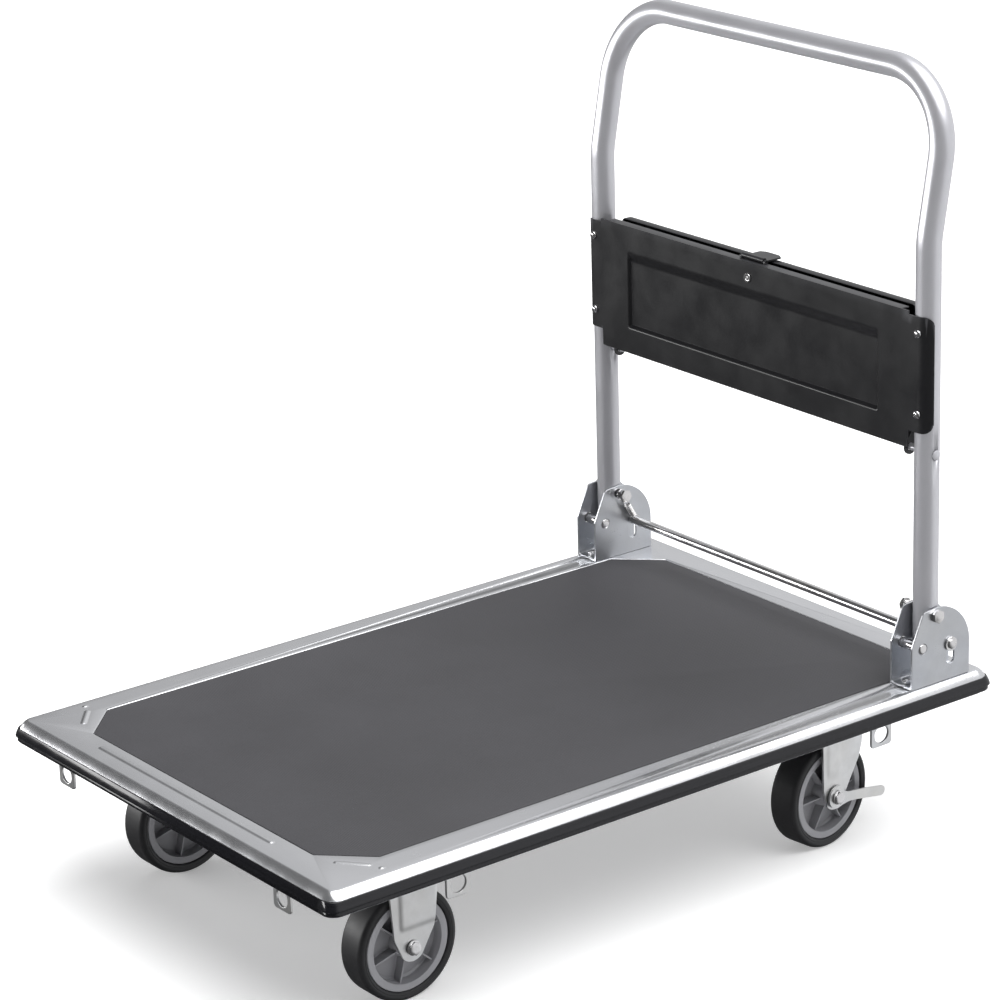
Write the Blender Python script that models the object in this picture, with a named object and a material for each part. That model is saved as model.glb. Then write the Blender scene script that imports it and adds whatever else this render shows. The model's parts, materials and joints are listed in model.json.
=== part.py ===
"""Folding platform cart: a pressed steel deck on two fixed and two swivel castors.

The push handle is pivoted in two zinc brackets at the rear edge and folds down
over the deck. It carries a pressed front panel and a tray that drops backwards.

Frame: +X runs from the handle to the front edge, +Y to the left side of the
cart as seen by someone pushing it, +Z up. The origin is on the floor, under
the middle of the deck. Every length is in metres.
"""
import math

import bmesh
import bpy
from mathutils import Matrix, Vector

# --- general ----------------------------------------------------------------
GAP = 0.0003              # between pieces that touch
RUNNING = 0.0003          # radial play of a turning fit
OVERCUT = 0.004           # how far a cutter runs past what it cuts
SIDES = (-1, 1)           # right side, left side

# --- deck -------------------------------------------------------------------
DECK_LENGTH = 0.910       # over the bumper
DECK_WIDTH = 0.610
DECK_CORNER = 0.020       # plan radius of the bumper's corners
SHEET = 0.0015            # pressed sheet thickness
SKIRT_HEIGHT = 0.028      # from the loading surface to the skirt's lower edge
EDGE_ROLL = 0.0045        # how far the rolled edge stands out from the skirt
ROLL_DEPTH = 0.008        # height of the rolled edge
BUMPER_DEPTH = 0.0075     # how far the bumper stands out from the skirt
BUMPER_LIP = 0.003        # skirt left bare below the bumper
BUMPER_GROOVE = 0.0016    # half the width of the groove between its two ribs
CORNER_STEPS = 5

# --- mat --------------------------------------------------------------------
MAT_END_BORDER = 0.049    # from the mat's end to the bumper's outer face
MAT_SIDE_BORDER = 0.0495  # the same on the long sides, clear of the handle's brackets
MAT_CHAMFER = 0.047
MAT_RECESS = 0.0022       # depth of the tray pressed into the deck for the mat
MAT_MARGIN = 0.0008       # gap round the mat's edge

# --- underframe -------------------------------------------------------------
RAIL_WIDTH = 0.110
RAIL_HEIGHT = 0.0307
RAIL_WALL = 0.0025
RAIL_END_GAP = 0.012      # from a rail's end to the skirt
SPINE_WIDTH = 0.060

# --- lashing lugs -----------------------------------------------------------
LUG_WIDTH = 0.030
LUG_DROP = 0.023          # below the skirt's lower edge
LUG_GRIP = 0.009          # above it, behind the skirt
LUG_PLATE = 0.003
LUG_HOLE = 0.020
LUG_RIM = 0.004           # below the hole
LUG_CORNER = 0.005
LUG_SIDE_INSET = 0.164    # lugs on the long sides, from the ends over the bumper
LUG_END_INSET = 0.099     # lugs on the short sides, from the long sides

# --- castors ----------------------------------------------------------------
WHEEL_DIAMETER = 0.125
TYRE_WIDTH = 0.036
TYRE_DEPTH = 0.0112       # tread to rim
RIM_INSET = 0.0015        # the rim is this much narrower than the tyre on each side
RIM_DEPTH = 0.008
TREAD_SHOULDER = 0.007    # width of the tread's rounded shoulder
TREAD_DROP = 0.003        # and its height
HUB_WEB = 0.006
HUB_DIAMETER = 0.030
AXLE_DIAMETER = 0.010
FORK_CLEARANCE = 0.0055   # tyre to the inside of a cheek
FORK_WALL = 0.0025
FORK_FOOT = 0.0155        # radius of the cheek's round foot
CASTOR_HEADROOM = 0.030   # from the top of the tyre to the top of the mounting plate
PLATE_LENGTH = 0.105
PLATE_WIDTH = 0.085
PLATE_WALL = 0.003
PLATE_CORNER = 0.008
CASTOR_SIDE_INSET = 0.098 # from the wheels' middle planes to the deck's sides over the bumper
CASTOR_END_INSET = 0.150  # from the fixed axle, or the swivel axis, to the deck's end
SWIVEL_TRAIL = 0.030      # from the swivel axis to the wheel's axle
SWIVEL_YAW = math.radians(6.2)   # the left swivel castor rests turned by this much
CROWN_TOP_GAP = 0.005     # tyre to the underside of the fork's crown
CROWN_DIAMETER = 0.076
RACE_DIAMETER = 0.070
KINGPIN_DIAMETER = 0.012
KINGPIN_NUT = 0.021

# Fork cheeks: distance from the axle and height above it, from the crown down.
FIXED_CHEEK_REAR = ((-0.033, 0.062), (-0.0285, 0.018))
FIXED_CHEEK_FRONT = ((0.026, 0.062), (0.0225, 0.014))
SWIVEL_CHEEK_REAR = ((-0.0465, 0.064), (-0.045, 0.052), (-0.040, 0.036), (-0.022, 0.008))
SWIVEL_CHEEK_FRONT = ((0.010, 0.064), (0.0105, 0.014))

# --- brake lever ------------------------------------------------------------
BRAKE_WALL = 0.0025
BRAKE_PAST_TYRE = 0.0195  # from the tyre's tread to the pedal's end
BRAKE_PEDAL = 0.012       # height of the pedal's rim
BRAKE_TREAD = 0.030       # width of the pedal
BRAKE_SLOPE = math.radians(12)   # pedal's downward slope at rest
BRAKE_EYE = 0.0135
TREAD_CLEARANCE = 0.004   # tyre to the pedal's tread

# --- handle brackets --------------------------------------------------------
BRACKET_INSET = 0.029     # middle of a bracket and a handle leg, from the deck's side
LEG_CLEARANCE = 0.0010    # handle leg to the inside of a cheek
BRACKET_WALL = 0.0025
BRACKET_REAR = 0.051      # from the pivot back to the rear edge
BRACKET_FRONT = 0.0366    # from the pivot to the front edge
BRACKET_ARC = 0.051       # radius of the bracket's round back
BRACKET_ARC_DROP = 0.0415 # the arc's centre below the pivot
BRACKET_UPRIGHT = 0.050   # height of the cheek's upright front edge above the loading surface
BRACKET_NOSE = 0.0155     # how far the cheek's front slopes back above it
BRACKET_SHOULDER = 0.0065 # where the slope ends, above the pivot
PIVOT_INSET = 0.0804      # from the pivot to the deck's rear end over the bumper
PIVOT_HEIGHT = 0.080      # above the loading surface
PIVOT_BOLT = 0.010
STOP_PIN = 0.012
STOP_PIN_HEIGHT = 0.0455  # above the loading surface
BASE_BOLT = 0.008
BASE_BOLT_X = 0.026       # in front of the pivot

# --- release rod ------------------------------------------------------------
ROD_DIAMETER = 0.011
ROD_CLEARANCE = 0.002     # rod to the handle's leg
ROD_DROP = 0.038          # below the pivot
ROD_STROKE = 0.018
ROD_OVERHANG = 0.0045     # past the bracket
CLIP_WIDTH = 0.002        # clip ring on the rod
CLIP_HEIGHT = 0.003
SPRING_DIAMETER = 0.010
SPRING_ROOM = 0.003       # bolt left free beside the spring
SPRING_END = 0.003        # from the bolt or the rod to the coil

# --- handle -----------------------------------------------------------------
TUBE_DIAMETER = 0.028
TUBE_WALL = 0.0015
HANDLE_HEIGHT = 0.880     # floor to the top of the grip
TUBE_BELOW_PIVOT = 0.0348
BEND_HEIGHT = 0.183       # where the bent-back top starts, below the handle's top
BEND_RADIUS = 0.110
BEND_ANGLE = math.radians(10.5)
GRIP_CORNER = 0.088
GRIP_STEPS = 7

# --- front panel ------------------------------------------------------------
PANEL_SHEET = 0.0015
PANEL_BELOW_BEND = 0.067  # from the start of the legs' bend down to the panel's top
PANEL_HEIGHT = 0.155
EAR_TOP = 0.004           # all of these are measured down from the panel's top
EAR_BOTTOM = 0.135
EAR_CORNER = 0.006
EAR_WRAP = math.radians(73)
PANEL_RECESS_INSET = 0.061       # from the leg's middle to the recess
RECESS_TOP = 0.031
RECESS_BOTTOM = 0.125
RECESS_DEPTH = 0.004
RECESS_SLOPE = 0.005
HEM_DEPTH = 0.0125
HEM_END = 0.026           # from the leg's middle to the hem's end
SCREW_HIGH = 0.023
SCREW_LOW = 0.114
RIVET_DROP = 0.018
SCREW_SHANK = 0.005
SCREW_HEAD = 0.010
SCREW_DOME = 0.003
RIVET_HEAD = 0.0112
RIVET_TAIL = 0.009

# --- tray -------------------------------------------------------------------
TRAY_SIDE_GAP = 0.012     # tray to each leg
TRAY_BACK = 0.0185        # from the legs' middle plane to the tray's back
TRAY_DEPTH = 0.012
TRAY_TOP = 0.0005         # below the panel's top
TRAY_BOTTOM = 0.155
TRAY_PIVOT = 0.160
TRAY_BOLT = 0.008
TRAY_CORNER = 0.006
TRAY_EYE = 0.009          # radius of the ear round the hinge bolt
TRAY_EAR = 0.030          # how far the ear runs up the pan's side

# --- latch ------------------------------------------------------------------
LATCH_WIDTH = 0.036
LATCH_PLATE = 0.002
LATCH_PIN = 0.0026
LATCH_POST = 0.003
LATCH_SETBACK = 0.0095    # pin behind the panel's front face
LATCH_OVERLAP = 0.004     # past the tray's back
LATCH_TAPER = 0.007       # taken off each corner of the tip
LATCH_RIM = 0.0015        # wall of the eye round the pin

# --- sizes that follow from the ones above ------------------------------------
HALF_LENGTH = DECK_LENGTH / 2
HALF_WIDTH = DECK_WIDTH / 2
CASTOR_HEIGHT = WHEEL_DIAMETER + CASTOR_HEADROOM
RAIL_FOOT = CASTOR_HEIGHT + GAP
RAIL_TOP = RAIL_FOOT + RAIL_HEIGHT
PAN_UNDERSIDE = RAIL_TOP + GAP
MAT_FLOOR = PAN_UNDERSIDE + SHEET
DECK_TOP = MAT_FLOOR + MAT_RECESS
SKIRT_X = HALF_LENGTH - BUMPER_DEPTH
SKIRT_Y = HALF_WIDTH - BUMPER_DEPTH
SKIRT_CORNER = DECK_CORNER - BUMPER_DEPTH
SKIRT_FOOT = DECK_TOP - SKIRT_HEIGHT
ROLL_FOOT = DECK_TOP - ROLL_DEPTH
MAT_LENGTH = DECK_LENGTH - 2 * MAT_END_BORDER
MAT_WIDTH = DECK_WIDTH - 2 * MAT_SIDE_BORDER
LUG_SIDE_X = HALF_LENGTH - LUG_SIDE_INSET
LUG_END_Y = HALF_WIDTH - LUG_END_INSET
CASTOR_Y = HALF_WIDTH - CASTOR_SIDE_INSET
FIXED_AXLE_X = HALF_LENGTH - CASTOR_END_INSET
SWIVEL_X = -FIXED_AXLE_X
WHEEL_RADIUS = WHEEL_DIAMETER / 2
RIM_RADIUS = WHEEL_RADIUS - TYRE_DEPTH
RIM_WIDTH = TYRE_WIDTH - 2 * RIM_INSET
FORK_INNER = TYRE_WIDTH / 2 + FORK_CLEARANCE
FORK_HALF = FORK_INNER + FORK_WALL
CROWN_FOOT = WHEEL_DIAMETER + CROWN_TOP_GAP
PLATE_FOOT = CASTOR_HEIGHT - PLATE_WALL
PLATE_MIDDLE = PLATE_FOOT + PLATE_WALL / 2
BRAKE_REACH = WHEEL_RADIUS + BRAKE_PAST_TYRE
PIVOT_X = PIVOT_INSET - HALF_LENGTH
PIVOT_Z = DECK_TOP + PIVOT_HEIGHT
TUBE_RADIUS = TUBE_DIAMETER / 2
ROD_RADIUS = ROD_DIAMETER / 2
ROD_X = PIVOT_X - TUBE_RADIUS - ROD_CLEARANCE - ROD_RADIUS
ROD_Z = PIVOT_Z - ROD_DROP
STOP_X = PIVOT_X + TUBE_RADIUS + GAP + STOP_PIN / 2
STOP_Z = DECK_TOP + STOP_PIN_HEIGHT
BRACKET_FOOT = DECK_TOP + GAP
BRACKET_Y = HALF_WIDTH - BRACKET_INSET
BRACKET_HALF = TUBE_RADIUS + LEG_CLEARANCE + BRACKET_WALL
CHEEK_IN = BRACKET_Y - BRACKET_HALF
CHEEK_OUT = BRACKET_Y + BRACKET_HALF
BEND_Z = HANDLE_HEIGHT - TUBE_RADIUS - BEND_HEIGHT
PANEL_TOP_Z = BEND_Z - PANEL_BELOW_BEND
PANEL_BACK_X = PIVOT_X + TUBE_RADIUS + GAP
PANEL_FRONT_X = PANEL_BACK_X + PANEL_SHEET
TRAY_HALF = BRACKET_Y - TUBE_RADIUS - TRAY_SIDE_GAP
TRAY_BACK_X = PIVOT_X - TRAY_BACK
TRAY_RIM_X = TRAY_BACK_X + TRAY_DEPTH
TRAY_PIVOT_Z = PANEL_TOP_Z - TRAY_PIVOT
LATCH_X = PANEL_FRONT_X - LATCH_SETBACK
LATCH_BORE = LATCH_PIN / 2 + RUNNING
LATCH_EYE = LATCH_BORE + LATCH_RIM
LATCH_Z = PANEL_TOP_Z + LATCH_EYE + 0.0005

HEAD = 0.85               # radius of a bolt's head or nut, as a share of its shank's diameter
HEAD_HEIGHT = 0.0035
NUT_HEIGHT = 0.005

ROUND = 12                # sides of small round pieces
DISC_SIDES = 20
WHEEL_SIDES = 24
TUBE_SIDES = 16


# --- scene helpers ------------------------------------------------------------
def clear_scene():
    for thing in list(bpy.data.objects):
        bpy.data.objects.remove(thing, do_unlink=True)


def make_material(name, colour, roughness, metallic):
    made = bpy.data.materials.new(name)
    made.use_nodes = True
    shader = made.node_tree.nodes["Principled BSDF"]
    shader.inputs["Base Color"].default_value = (*colour, 1.0)
    shader.inputs["Roughness"].default_value = roughness
    shader.inputs["Metallic"].default_value = metallic
    return made


def make_materials():
    return {
        "deck_paint": make_material("deck_paint", (0.62, 0.63, 0.66), 0.42, 0.55),
        "mat_rubber": make_material("mat_rubber", (0.11, 0.11, 0.12), 0.75, 0.0),
        "bumper_vinyl": make_material("bumper_vinyl", (0.015, 0.015, 0.018), 0.22, 0.0),
        "zinc_plate": make_material("zinc_plate", (0.66, 0.67, 0.69), 0.33, 0.85),
        "handle_paint": make_material("handle_paint", (0.40, 0.41, 0.43), 0.35, 0.6),
        "panel_paint": make_material("panel_paint", (0.018, 0.018, 0.021), 0.45, 0.0),
        "wheel_plastic": make_material("wheel_plastic", (0.21, 0.21, 0.225), 0.5, 0.0),
        "tyre_rubber": make_material("tyre_rubber", (0.018, 0.018, 0.02), 0.6, 0.0),
    }


def make_pivot(name, spot, yaw=0.0):
    """An empty that carries the pieces of one moving body."""
    pivot = bpy.data.objects.new(name, None)
    pivot.location = spot
    pivot.rotation_euler = (0, 0, yaw)
    bpy.context.collection.objects.link(pivot)
    return pivot


def hang(thing, pivot):
    """Parent a thing and its tools to an unturned pivot, leaving them where they are."""
    rest = Matrix.Translation(-pivot.location)
    for part in [thing] + [step.object for step in thing.modifiers]:
        part.parent = pivot
        part.matrix_parent_inverse = rest


def finish_mesh(name, shape):
    """Turn a bmesh into a mesh with its faces out, smooth but for sharp edges."""
    bmesh.ops.recalc_face_normals(shape, faces=shape.faces)
    mesh = bpy.data.meshes.new(name)
    shape.to_mesh(mesh)
    shape.free()
    mesh.shade_smooth()
    mesh.set_sharp_from_angle(angle=math.radians(35))
    return mesh


def place(name, shape, finish, parent=None, origin=(0, 0, 0)):
    """Add a piece drawn in its parent's frame, with its own origin at `origin`."""
    spot = Vector(origin)
    bmesh.ops.translate(shape, verts=shape.verts, vec=-spot)
    piece = bpy.data.objects.new(name, finish_mesh(name, shape))
    piece.location = spot
    piece.parent = parent
    piece.data.materials.append(finish)
    bpy.context.collection.objects.link(piece)
    return piece


def combine(piece, shape, operation):
    """Join a shape to a piece, or cut it away. The shape is in the parent's frame."""
    bmesh.ops.translate(shape, verts=shape.verts, vec=-piece.location)
    tool = bpy.data.objects.new(piece.name + ".tool", finish_mesh("tool", shape))
    tool.location = piece.location
    tool.parent = piece.parent
    tool.hide_render = True
    tool.display_type = "WIRE"
    bpy.context.collection.objects.link(tool)
    step = piece.modifiers.new(operation.lower(), "BOOLEAN")
    step.operation = operation
    step.solver = "EXACT"
    step.object = tool


def cut(piece, shape):
    combine(piece, shape, "DIFFERENCE")


def join(piece, shape):
    combine(piece, shape, "UNION")


# --- shape helpers --------------------------------------------------------------
def loft(rings, closed=False):
    """Skin a list of rings of equal length; the ends are capped unless closed."""
    shape = bmesh.new()
    loops = [[shape.verts.new(point) for point in ring] for ring in rings]
    pairs = list(zip(loops, loops[1:]))
    if closed:
        pairs.append((loops[-1], loops[0]))
    for low, high in pairs:
        for i in range(len(low)):
            j = (i + 1) % len(low)
            shape.faces.new((low[i], low[j], high[j], high[i]))
    if not closed:
        shape.faces.new(loops[0])
        shape.faces.new(loops[-1])
    return shape


def on_axis(axis, across, up, along):
    """A point given in the plane across an axis, and along that axis."""
    if axis == "X":
        return Vector((along, across, up))
    if axis == "Y":
        return Vector((across, along, up))
    return Vector((across, up, along))


def prism(outline, axis, low, high):
    """Extrude a flat outline along an axis, from low to high."""
    return loft([[on_axis(axis, a, b, level) for a, b in outline] for level in (low, high)])


def box(low, high):
    outline = [(low[0], low[1]), (high[0], low[1]), (high[0], high[1]), (low[0], high[1])]
    return prism(outline, "Z", low[2], high[2])


def circle(radius, centre=(0, 0), sides=ROUND):
    turns = [2 * math.pi * (k + 0.5) / sides for k in range(sides)]
    return [(centre[0] + radius * math.cos(t), centre[1] + radius * math.sin(t)) for t in turns]


def arc(centre, radius, start, end, steps):
    turns = [start + (end - start) * k / steps for k in range(steps + 1)]
    return [(centre[0] + radius * math.cos(t), centre[1] + radius * math.sin(t)) for t in turns]


def rod(axis, centre, radius, low, high, sides=ROUND):
    """A plain round bar along an axis; centre is its place across that axis."""
    return prism(circle(radius, centre, sides), axis, low, high)


def turned(profile, axis, centre, sides, closed=False):
    """Turn a profile of (radius, along) points about an axis."""
    rings = [[on_axis(axis, a, b, along) for a, b in circle(radius, centre, sides)]
             for radius, along in profile]
    return loft(rings, closed)


def bolt(axis, centre, diameter, low, high, side=1):
    """A bolt gripping from its head at `low` to its nut at `high`; side -1 mirrors it."""
    head, shank = diameter * HEAD, diameter / 2
    profile = [(head, low - HEAD_HEIGHT), (head, low), (shank, low),
               (shank, high), (head, high), (head, high + NUT_HEIGHT)]
    return turned([(radius, side * along) for radius, along in profile], axis, centre, ROUND)


def rounded_rectangle(half_x, half_y, radius, steps=4):
    """A rectangle with round corners, from its +X +Y corner round to the left."""
    outline = []
    for quarter, (sx, sy) in enumerate(((1, 1), (-1, 1), (-1, -1), (1, -1))):
        centre = (sx * (half_x - radius), sy * (half_y - radius))
        outline += arc(centre, radius, quarter * math.pi / 2, (quarter + 1) * math.pi / 2, steps)
    return outline


def octagon(length, width, chamfer):
    a, b = length / 2, width / 2
    corners = [(a, b - chamfer), (a - chamfer, b)]
    corners += [(-x, y) for x, y in reversed(corners)]
    return corners + [(-x, -y) for x, y in corners]


# --- deck -----------------------------------------------------------------------
def deck_ring(offset, height):
    """The skirt's outline moved out by an offset, at a height."""
    outline = rounded_rectangle(SKIRT_X + offset, SKIRT_Y + offset, SKIRT_CORNER + offset,
                                CORNER_STEPS)
    return [(x, y, height) for x, y in outline]


def build_deck(finish):
    roll = [(EDGE_ROLL * math.cos(t), ROLL_FOOT + ROLL_DEPTH * math.sin(t))
            for t in (0.0, math.pi / 6, math.pi / 3, math.pi / 2)]
    rings = [deck_ring(offset, height) for offset, height in reversed(roll)]
    rings += [deck_ring(0, ROLL_FOOT), deck_ring(0, SKIRT_FOOT)]
    rings += [deck_ring(-SHEET, SKIRT_FOOT), deck_ring(-SHEET, DECK_TOP - SHEET)]
    deck = place("deck_pan", loft(rings), finish)
    margin = 2 * MAT_MARGIN
    pan = octagon(MAT_LENGTH + margin + 2 * SHEET, MAT_WIDTH + margin + 2 * SHEET, MAT_CHAMFER)
    join(deck, prism(pan, "Z", PAN_UNDERSIDE, DECK_TOP - SHEET / 2))
    recess = octagon(MAT_LENGTH + margin, MAT_WIDTH + margin, MAT_CHAMFER)
    cut(deck, prism(recess, "Z", MAT_FLOOR, DECK_TOP + OVERCUT))
    for side in SIDES:
        spot = (PIVOT_X + BASE_BOLT_X, side * BRACKET_Y)
        cut(deck, rod("Z", spot, BASE_BOLT / 2 + GAP, PAN_UNDERSIDE - OVERCUT, DECK_TOP + OVERCUT))
    return deck


def build_mat(finish):
    outline = octagon(MAT_LENGTH, MAT_WIDTH, MAT_CHAMFER)
    place("deck_mat", prism(outline, "Z", MAT_FLOOR + GAP, DECK_TOP), finish)


def build_bumper(finish):
    """Two rounded ribs with a groove between them, wrapped round the skirt."""
    low, high = SKIRT_FOOT + BUMPER_LIP, ROLL_FOOT - GAP
    middle, shoulder = (low + high) / 2, (high - low) / 5
    rib, root, edge = BUMPER_DEPTH, 0.75 * BUMPER_DEPTH, 0.6 * BUMPER_DEPTH
    section = [(GAP, low), (edge, low), (rib, low + shoulder), (rib, middle - BUMPER_GROOVE),
               (root, middle), (rib, middle + BUMPER_GROOVE), (rib, high - shoulder),
               (edge, high), (GAP, high)]
    place("bumper_strip", loft([deck_ring(*point) for point in section], closed=True), finish)


def channel(half_width):
    """A U section, open at the top, that fills the height under the deck."""
    inner = half_width - RAIL_WALL
    return [(-half_width, RAIL_FOOT), (half_width, RAIL_FOOT), (half_width, RAIL_TOP),
            (inner, RAIL_TOP), (inner, RAIL_FOOT + RAIL_WALL),
            (-inner, RAIL_FOOT + RAIL_WALL), (-inner, RAIL_TOP), (-half_width, RAIL_TOP)]


def build_rails(finish):
    reach = SKIRT_Y - SHEET - RAIL_END_GAP
    for name, middle in (("cross_rail_front", FIXED_AXLE_X), ("cross_rail_rear", SWIVEL_X)):
        section = [(middle + x, z) for x, z in channel(RAIL_WIDTH / 2)]
        place(name, prism(section, "Y", -reach, reach), finish)
    rear, front = SWIVEL_X + RAIL_WIDTH / 2 + GAP, FIXED_AXLE_X - RAIL_WIDTH / 2 - GAP
    place("spine_rail", prism(channel(SPINE_WIDTH / 2), "X", rear, front), finish)


def build_lug(name, finish, axis, side, along):
    """A flat plate with a lashing hole, fixed inside the skirt and hanging below it."""
    low, high = SKIRT_FOOT - LUG_DROP, SKIRT_FOOT + LUG_GRIP
    outline = arc((along + LUG_WIDTH / 2 - LUG_CORNER, low + LUG_CORNER), LUG_CORNER,
                  -math.pi / 2, 0, 3)
    outline += [(along + LUG_WIDTH / 2, high), (along - LUG_WIDTH / 2, high)]
    outline += arc((along - LUG_WIDTH / 2 + LUG_CORNER, low + LUG_CORNER), LUG_CORNER,
                   -math.pi, -math.pi / 2, 3)
    skirt = (SKIRT_Y if axis == "Y" else SKIRT_X) - SHEET - GAP
    near, far = sorted((side * skirt, side * (skirt - LUG_PLATE)))
    lug = place(name, prism(outline, axis, near, far), finish)
    centre = (along, low + LUG_RIM + LUG_HOLE / 2)
    cut(lug, rod(axis, centre, LUG_HOLE / 2, near - OVERCUT, far + OVERCUT))


def build_lugs(finish):
    for side, side_name in ((1, "left"), (-1, "right")):
        for end, end_name in ((1, "front"), (-1, "rear")):
            build_lug(f"lashing_lug_{side_name}_{end_name}", finish, "Y", side, end * LUG_SIDE_X)
            build_lug(f"lashing_lug_{end_name}_{side_name}", finish, "X", end, side * LUG_END_Y)


# --- castors --------------------------------------------------------------------
def mounting_plate(centre_x):
    outline = [(centre_x + x, y) for x, y in
               rounded_rectangle(PLATE_LENGTH / 2, PLATE_WIDTH / 2, PLATE_CORNER, 3)]
    return prism(outline, "Z", PLATE_FOOT, CASTOR_HEIGHT)


def build_wheel(label, parent, axle_x, finishes):
    """Hub and tyre, drawn with the swivel axis or the axle's foot at the origin."""
    centre = (axle_x, WHEEL_RADIUS)
    boss, rim = FORK_INNER - GAP, RIM_WIDTH / 2
    across_flats = 1 / math.cos(math.pi / WHEEL_SIDES)
    seat = RIM_RADIUS * across_flats
    half = [(HUB_DIAMETER / 2 - 0.002, boss), (HUB_DIAMETER / 2, HUB_WEB / 2),
            (seat - RIM_DEPTH, HUB_WEB / 2), (seat - RIM_DEPTH, rim), (seat, rim)]
    bore = AXLE_DIAMETER / 2 + RUNNING
    profile = [(bore, -boss)] + [(r, -a) for r, a in half]
    profile += list(reversed(half)) + [(bore, boss)]
    hub = turned(profile, "Y", centre, WHEEL_SIDES, closed=True)
    place("wheel_hub_" + label, hub, finishes["wheel_plastic"], parent, (axle_x, 0, WHEEL_RADIUS))
    wide, tread = TYRE_WIDTH / 2, WHEEL_RADIUS * across_flats
    half = [(seat + GAP, rim), (seat + RIM_INSET, wide), (tread - TREAD_DROP, wide),
            (tread, wide - TREAD_SHOULDER)]
    profile = [(r, -a) for r, a in half] + list(reversed(half))
    tyre = turned(profile, "Y", centre, WHEEL_SIDES, closed=True)
    place("tyre_" + label, tyre, finishes["tyre_rubber"], parent, (axle_x, 0, WHEEL_RADIUS))


def build_axle(name, parent, axle_x, finish):
    half = FORK_HALF + GAP
    shape = bolt("Y", (axle_x, WHEEL_RADIUS), AXLE_DIAMETER, -half, half)
    place(name, shape, finish, parent, (axle_x, 0, WHEEL_RADIUS))


def cheek_outline(axle_x, rear, front, top):
    """The side of a fork: straight edges from the crown to a round foot at the axle."""
    rear = [(axle_x + a, WHEEL_RADIUS + b) for a, b in rear]
    front = [(axle_x + a, WHEEL_RADIUS + b) for a, b in reversed(front)]
    foot = arc((axle_x, WHEEL_RADIUS), FORK_FOOT, math.radians(-145), math.radians(-35), 6)
    return [(rear[0][0], top)] + rear + foot + front + [(front[-1][0], top)]


def build_fork(name, parent, outline, crown, crown_foot, axle_x, finish):
    """Two cheeks under a crown, cut from one folded block."""
    fork = place(name, prism(outline, "Y", -FORK_HALF, FORK_HALF), finish, parent)
    xs = [x for x, _ in outline]
    cut(fork, box((min(xs) - OVERCUT, -FORK_INNER, -OVERCUT),
                  (max(xs) + OVERCUT, FORK_INNER, crown_foot)))
    join(fork, crown)
    cut(fork, rod("Y", (axle_x, WHEEL_RADIUS), AXLE_DIAMETER / 2 + GAP,
                  -FORK_HALF - OVERCUT, FORK_HALF + OVERCUT))
    return fork


def build_fixed_castor(side_name, side, finishes):
    zinc = finishes["zinc_plate"]
    base = make_pivot("fixed_castor_" + side_name, (FIXED_AXLE_X, side * CASTOR_Y, 0))
    outline = cheek_outline(0, FIXED_CHEEK_REAR, FIXED_CHEEK_FRONT, PLATE_MIDDLE)
    build_fork("fixed_fork_" + side_name, base, outline, mounting_plate(0), PLATE_FOOT, 0, zinc)
    build_axle("fixed_axle_" + side_name, base, 0, zinc)
    build_wheel("front_" + side_name, base, 0, finishes)


def build_swivel_plate(side_name, base, finish):
    """The mounting plate with the upper race pressed below it."""
    race_foot = (CROWN_FOOT + FORK_WALL + PLATE_FOOT) / 2 + GAP
    plate = place("swivel_plate_" + side_name, mounting_plate(0), finish, base)
    join(plate, rod("Z", (0, 0), RACE_DIAMETER / 2, race_foot, PLATE_MIDDLE, DISC_SIDES))
    cut(plate, rod("Z", (0, 0), KINGPIN_DIAMETER / 2 + GAP, race_foot - OVERCUT,
                   CASTOR_HEIGHT + OVERCUT))
    return race_foot


def build_kingpin(side_name, base, finish):
    """A pin riveted in the plate, with its nut under the fork's crown."""
    radius, nut = KINGPIN_DIAMETER / 2, KINGPIN_NUT / 2
    nut_top = CROWN_FOOT - GAP
    profile = [(nut, WHEEL_DIAMETER + 2 * GAP), (nut, nut_top), (radius, nut_top),
               (radius, CASTOR_HEIGHT)]
    place("kingpin_" + side_name, turned(profile, "Z", (0, 0), ROUND), finish, base)


def build_swivel_fork(side_name, turning, race_foot, finish):
    crown = rod("Z", (0, 0), CROWN_DIAMETER / 2, CROWN_FOOT, race_foot - GAP, DISC_SIDES)
    outline = cheek_outline(SWIVEL_TRAIL, SWIVEL_CHEEK_REAR, SWIVEL_CHEEK_FRONT,
                            CROWN_FOOT + FORK_WALL / 2)
    fork = build_fork("swivel_fork_" + side_name, turning, outline, crown, CROWN_FOOT,
                      SWIVEL_TRAIL, finish)
    cut(fork, rod("Z", (0, 0), KINGPIN_DIAMETER / 2 + RUNNING, CROWN_FOOT - OVERCUT,
                  race_foot + OVERCUT))


def brake_outline():
    """Side of the brake lever, round its axle: an eye, an arm and the pedal's rim."""
    eye = arc((0, 0), BRAKE_EYE, math.radians(-120), math.radians(100), 8)
    half = BRAKE_PEDAL / 2
    start = WHEEL_RADIUS - BRAKE_PEDAL
    arm = [(-0.024, half), (-start, half), (-BRAKE_REACH + half, half)]
    tip = arc((-BRAKE_REACH + half, 0), half, math.radians(90), math.radians(270), 5)
    under = [(-start, -half), (-0.020, -BRAKE_PEDAL)]
    return eye + arm + tip[1:] + under


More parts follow.
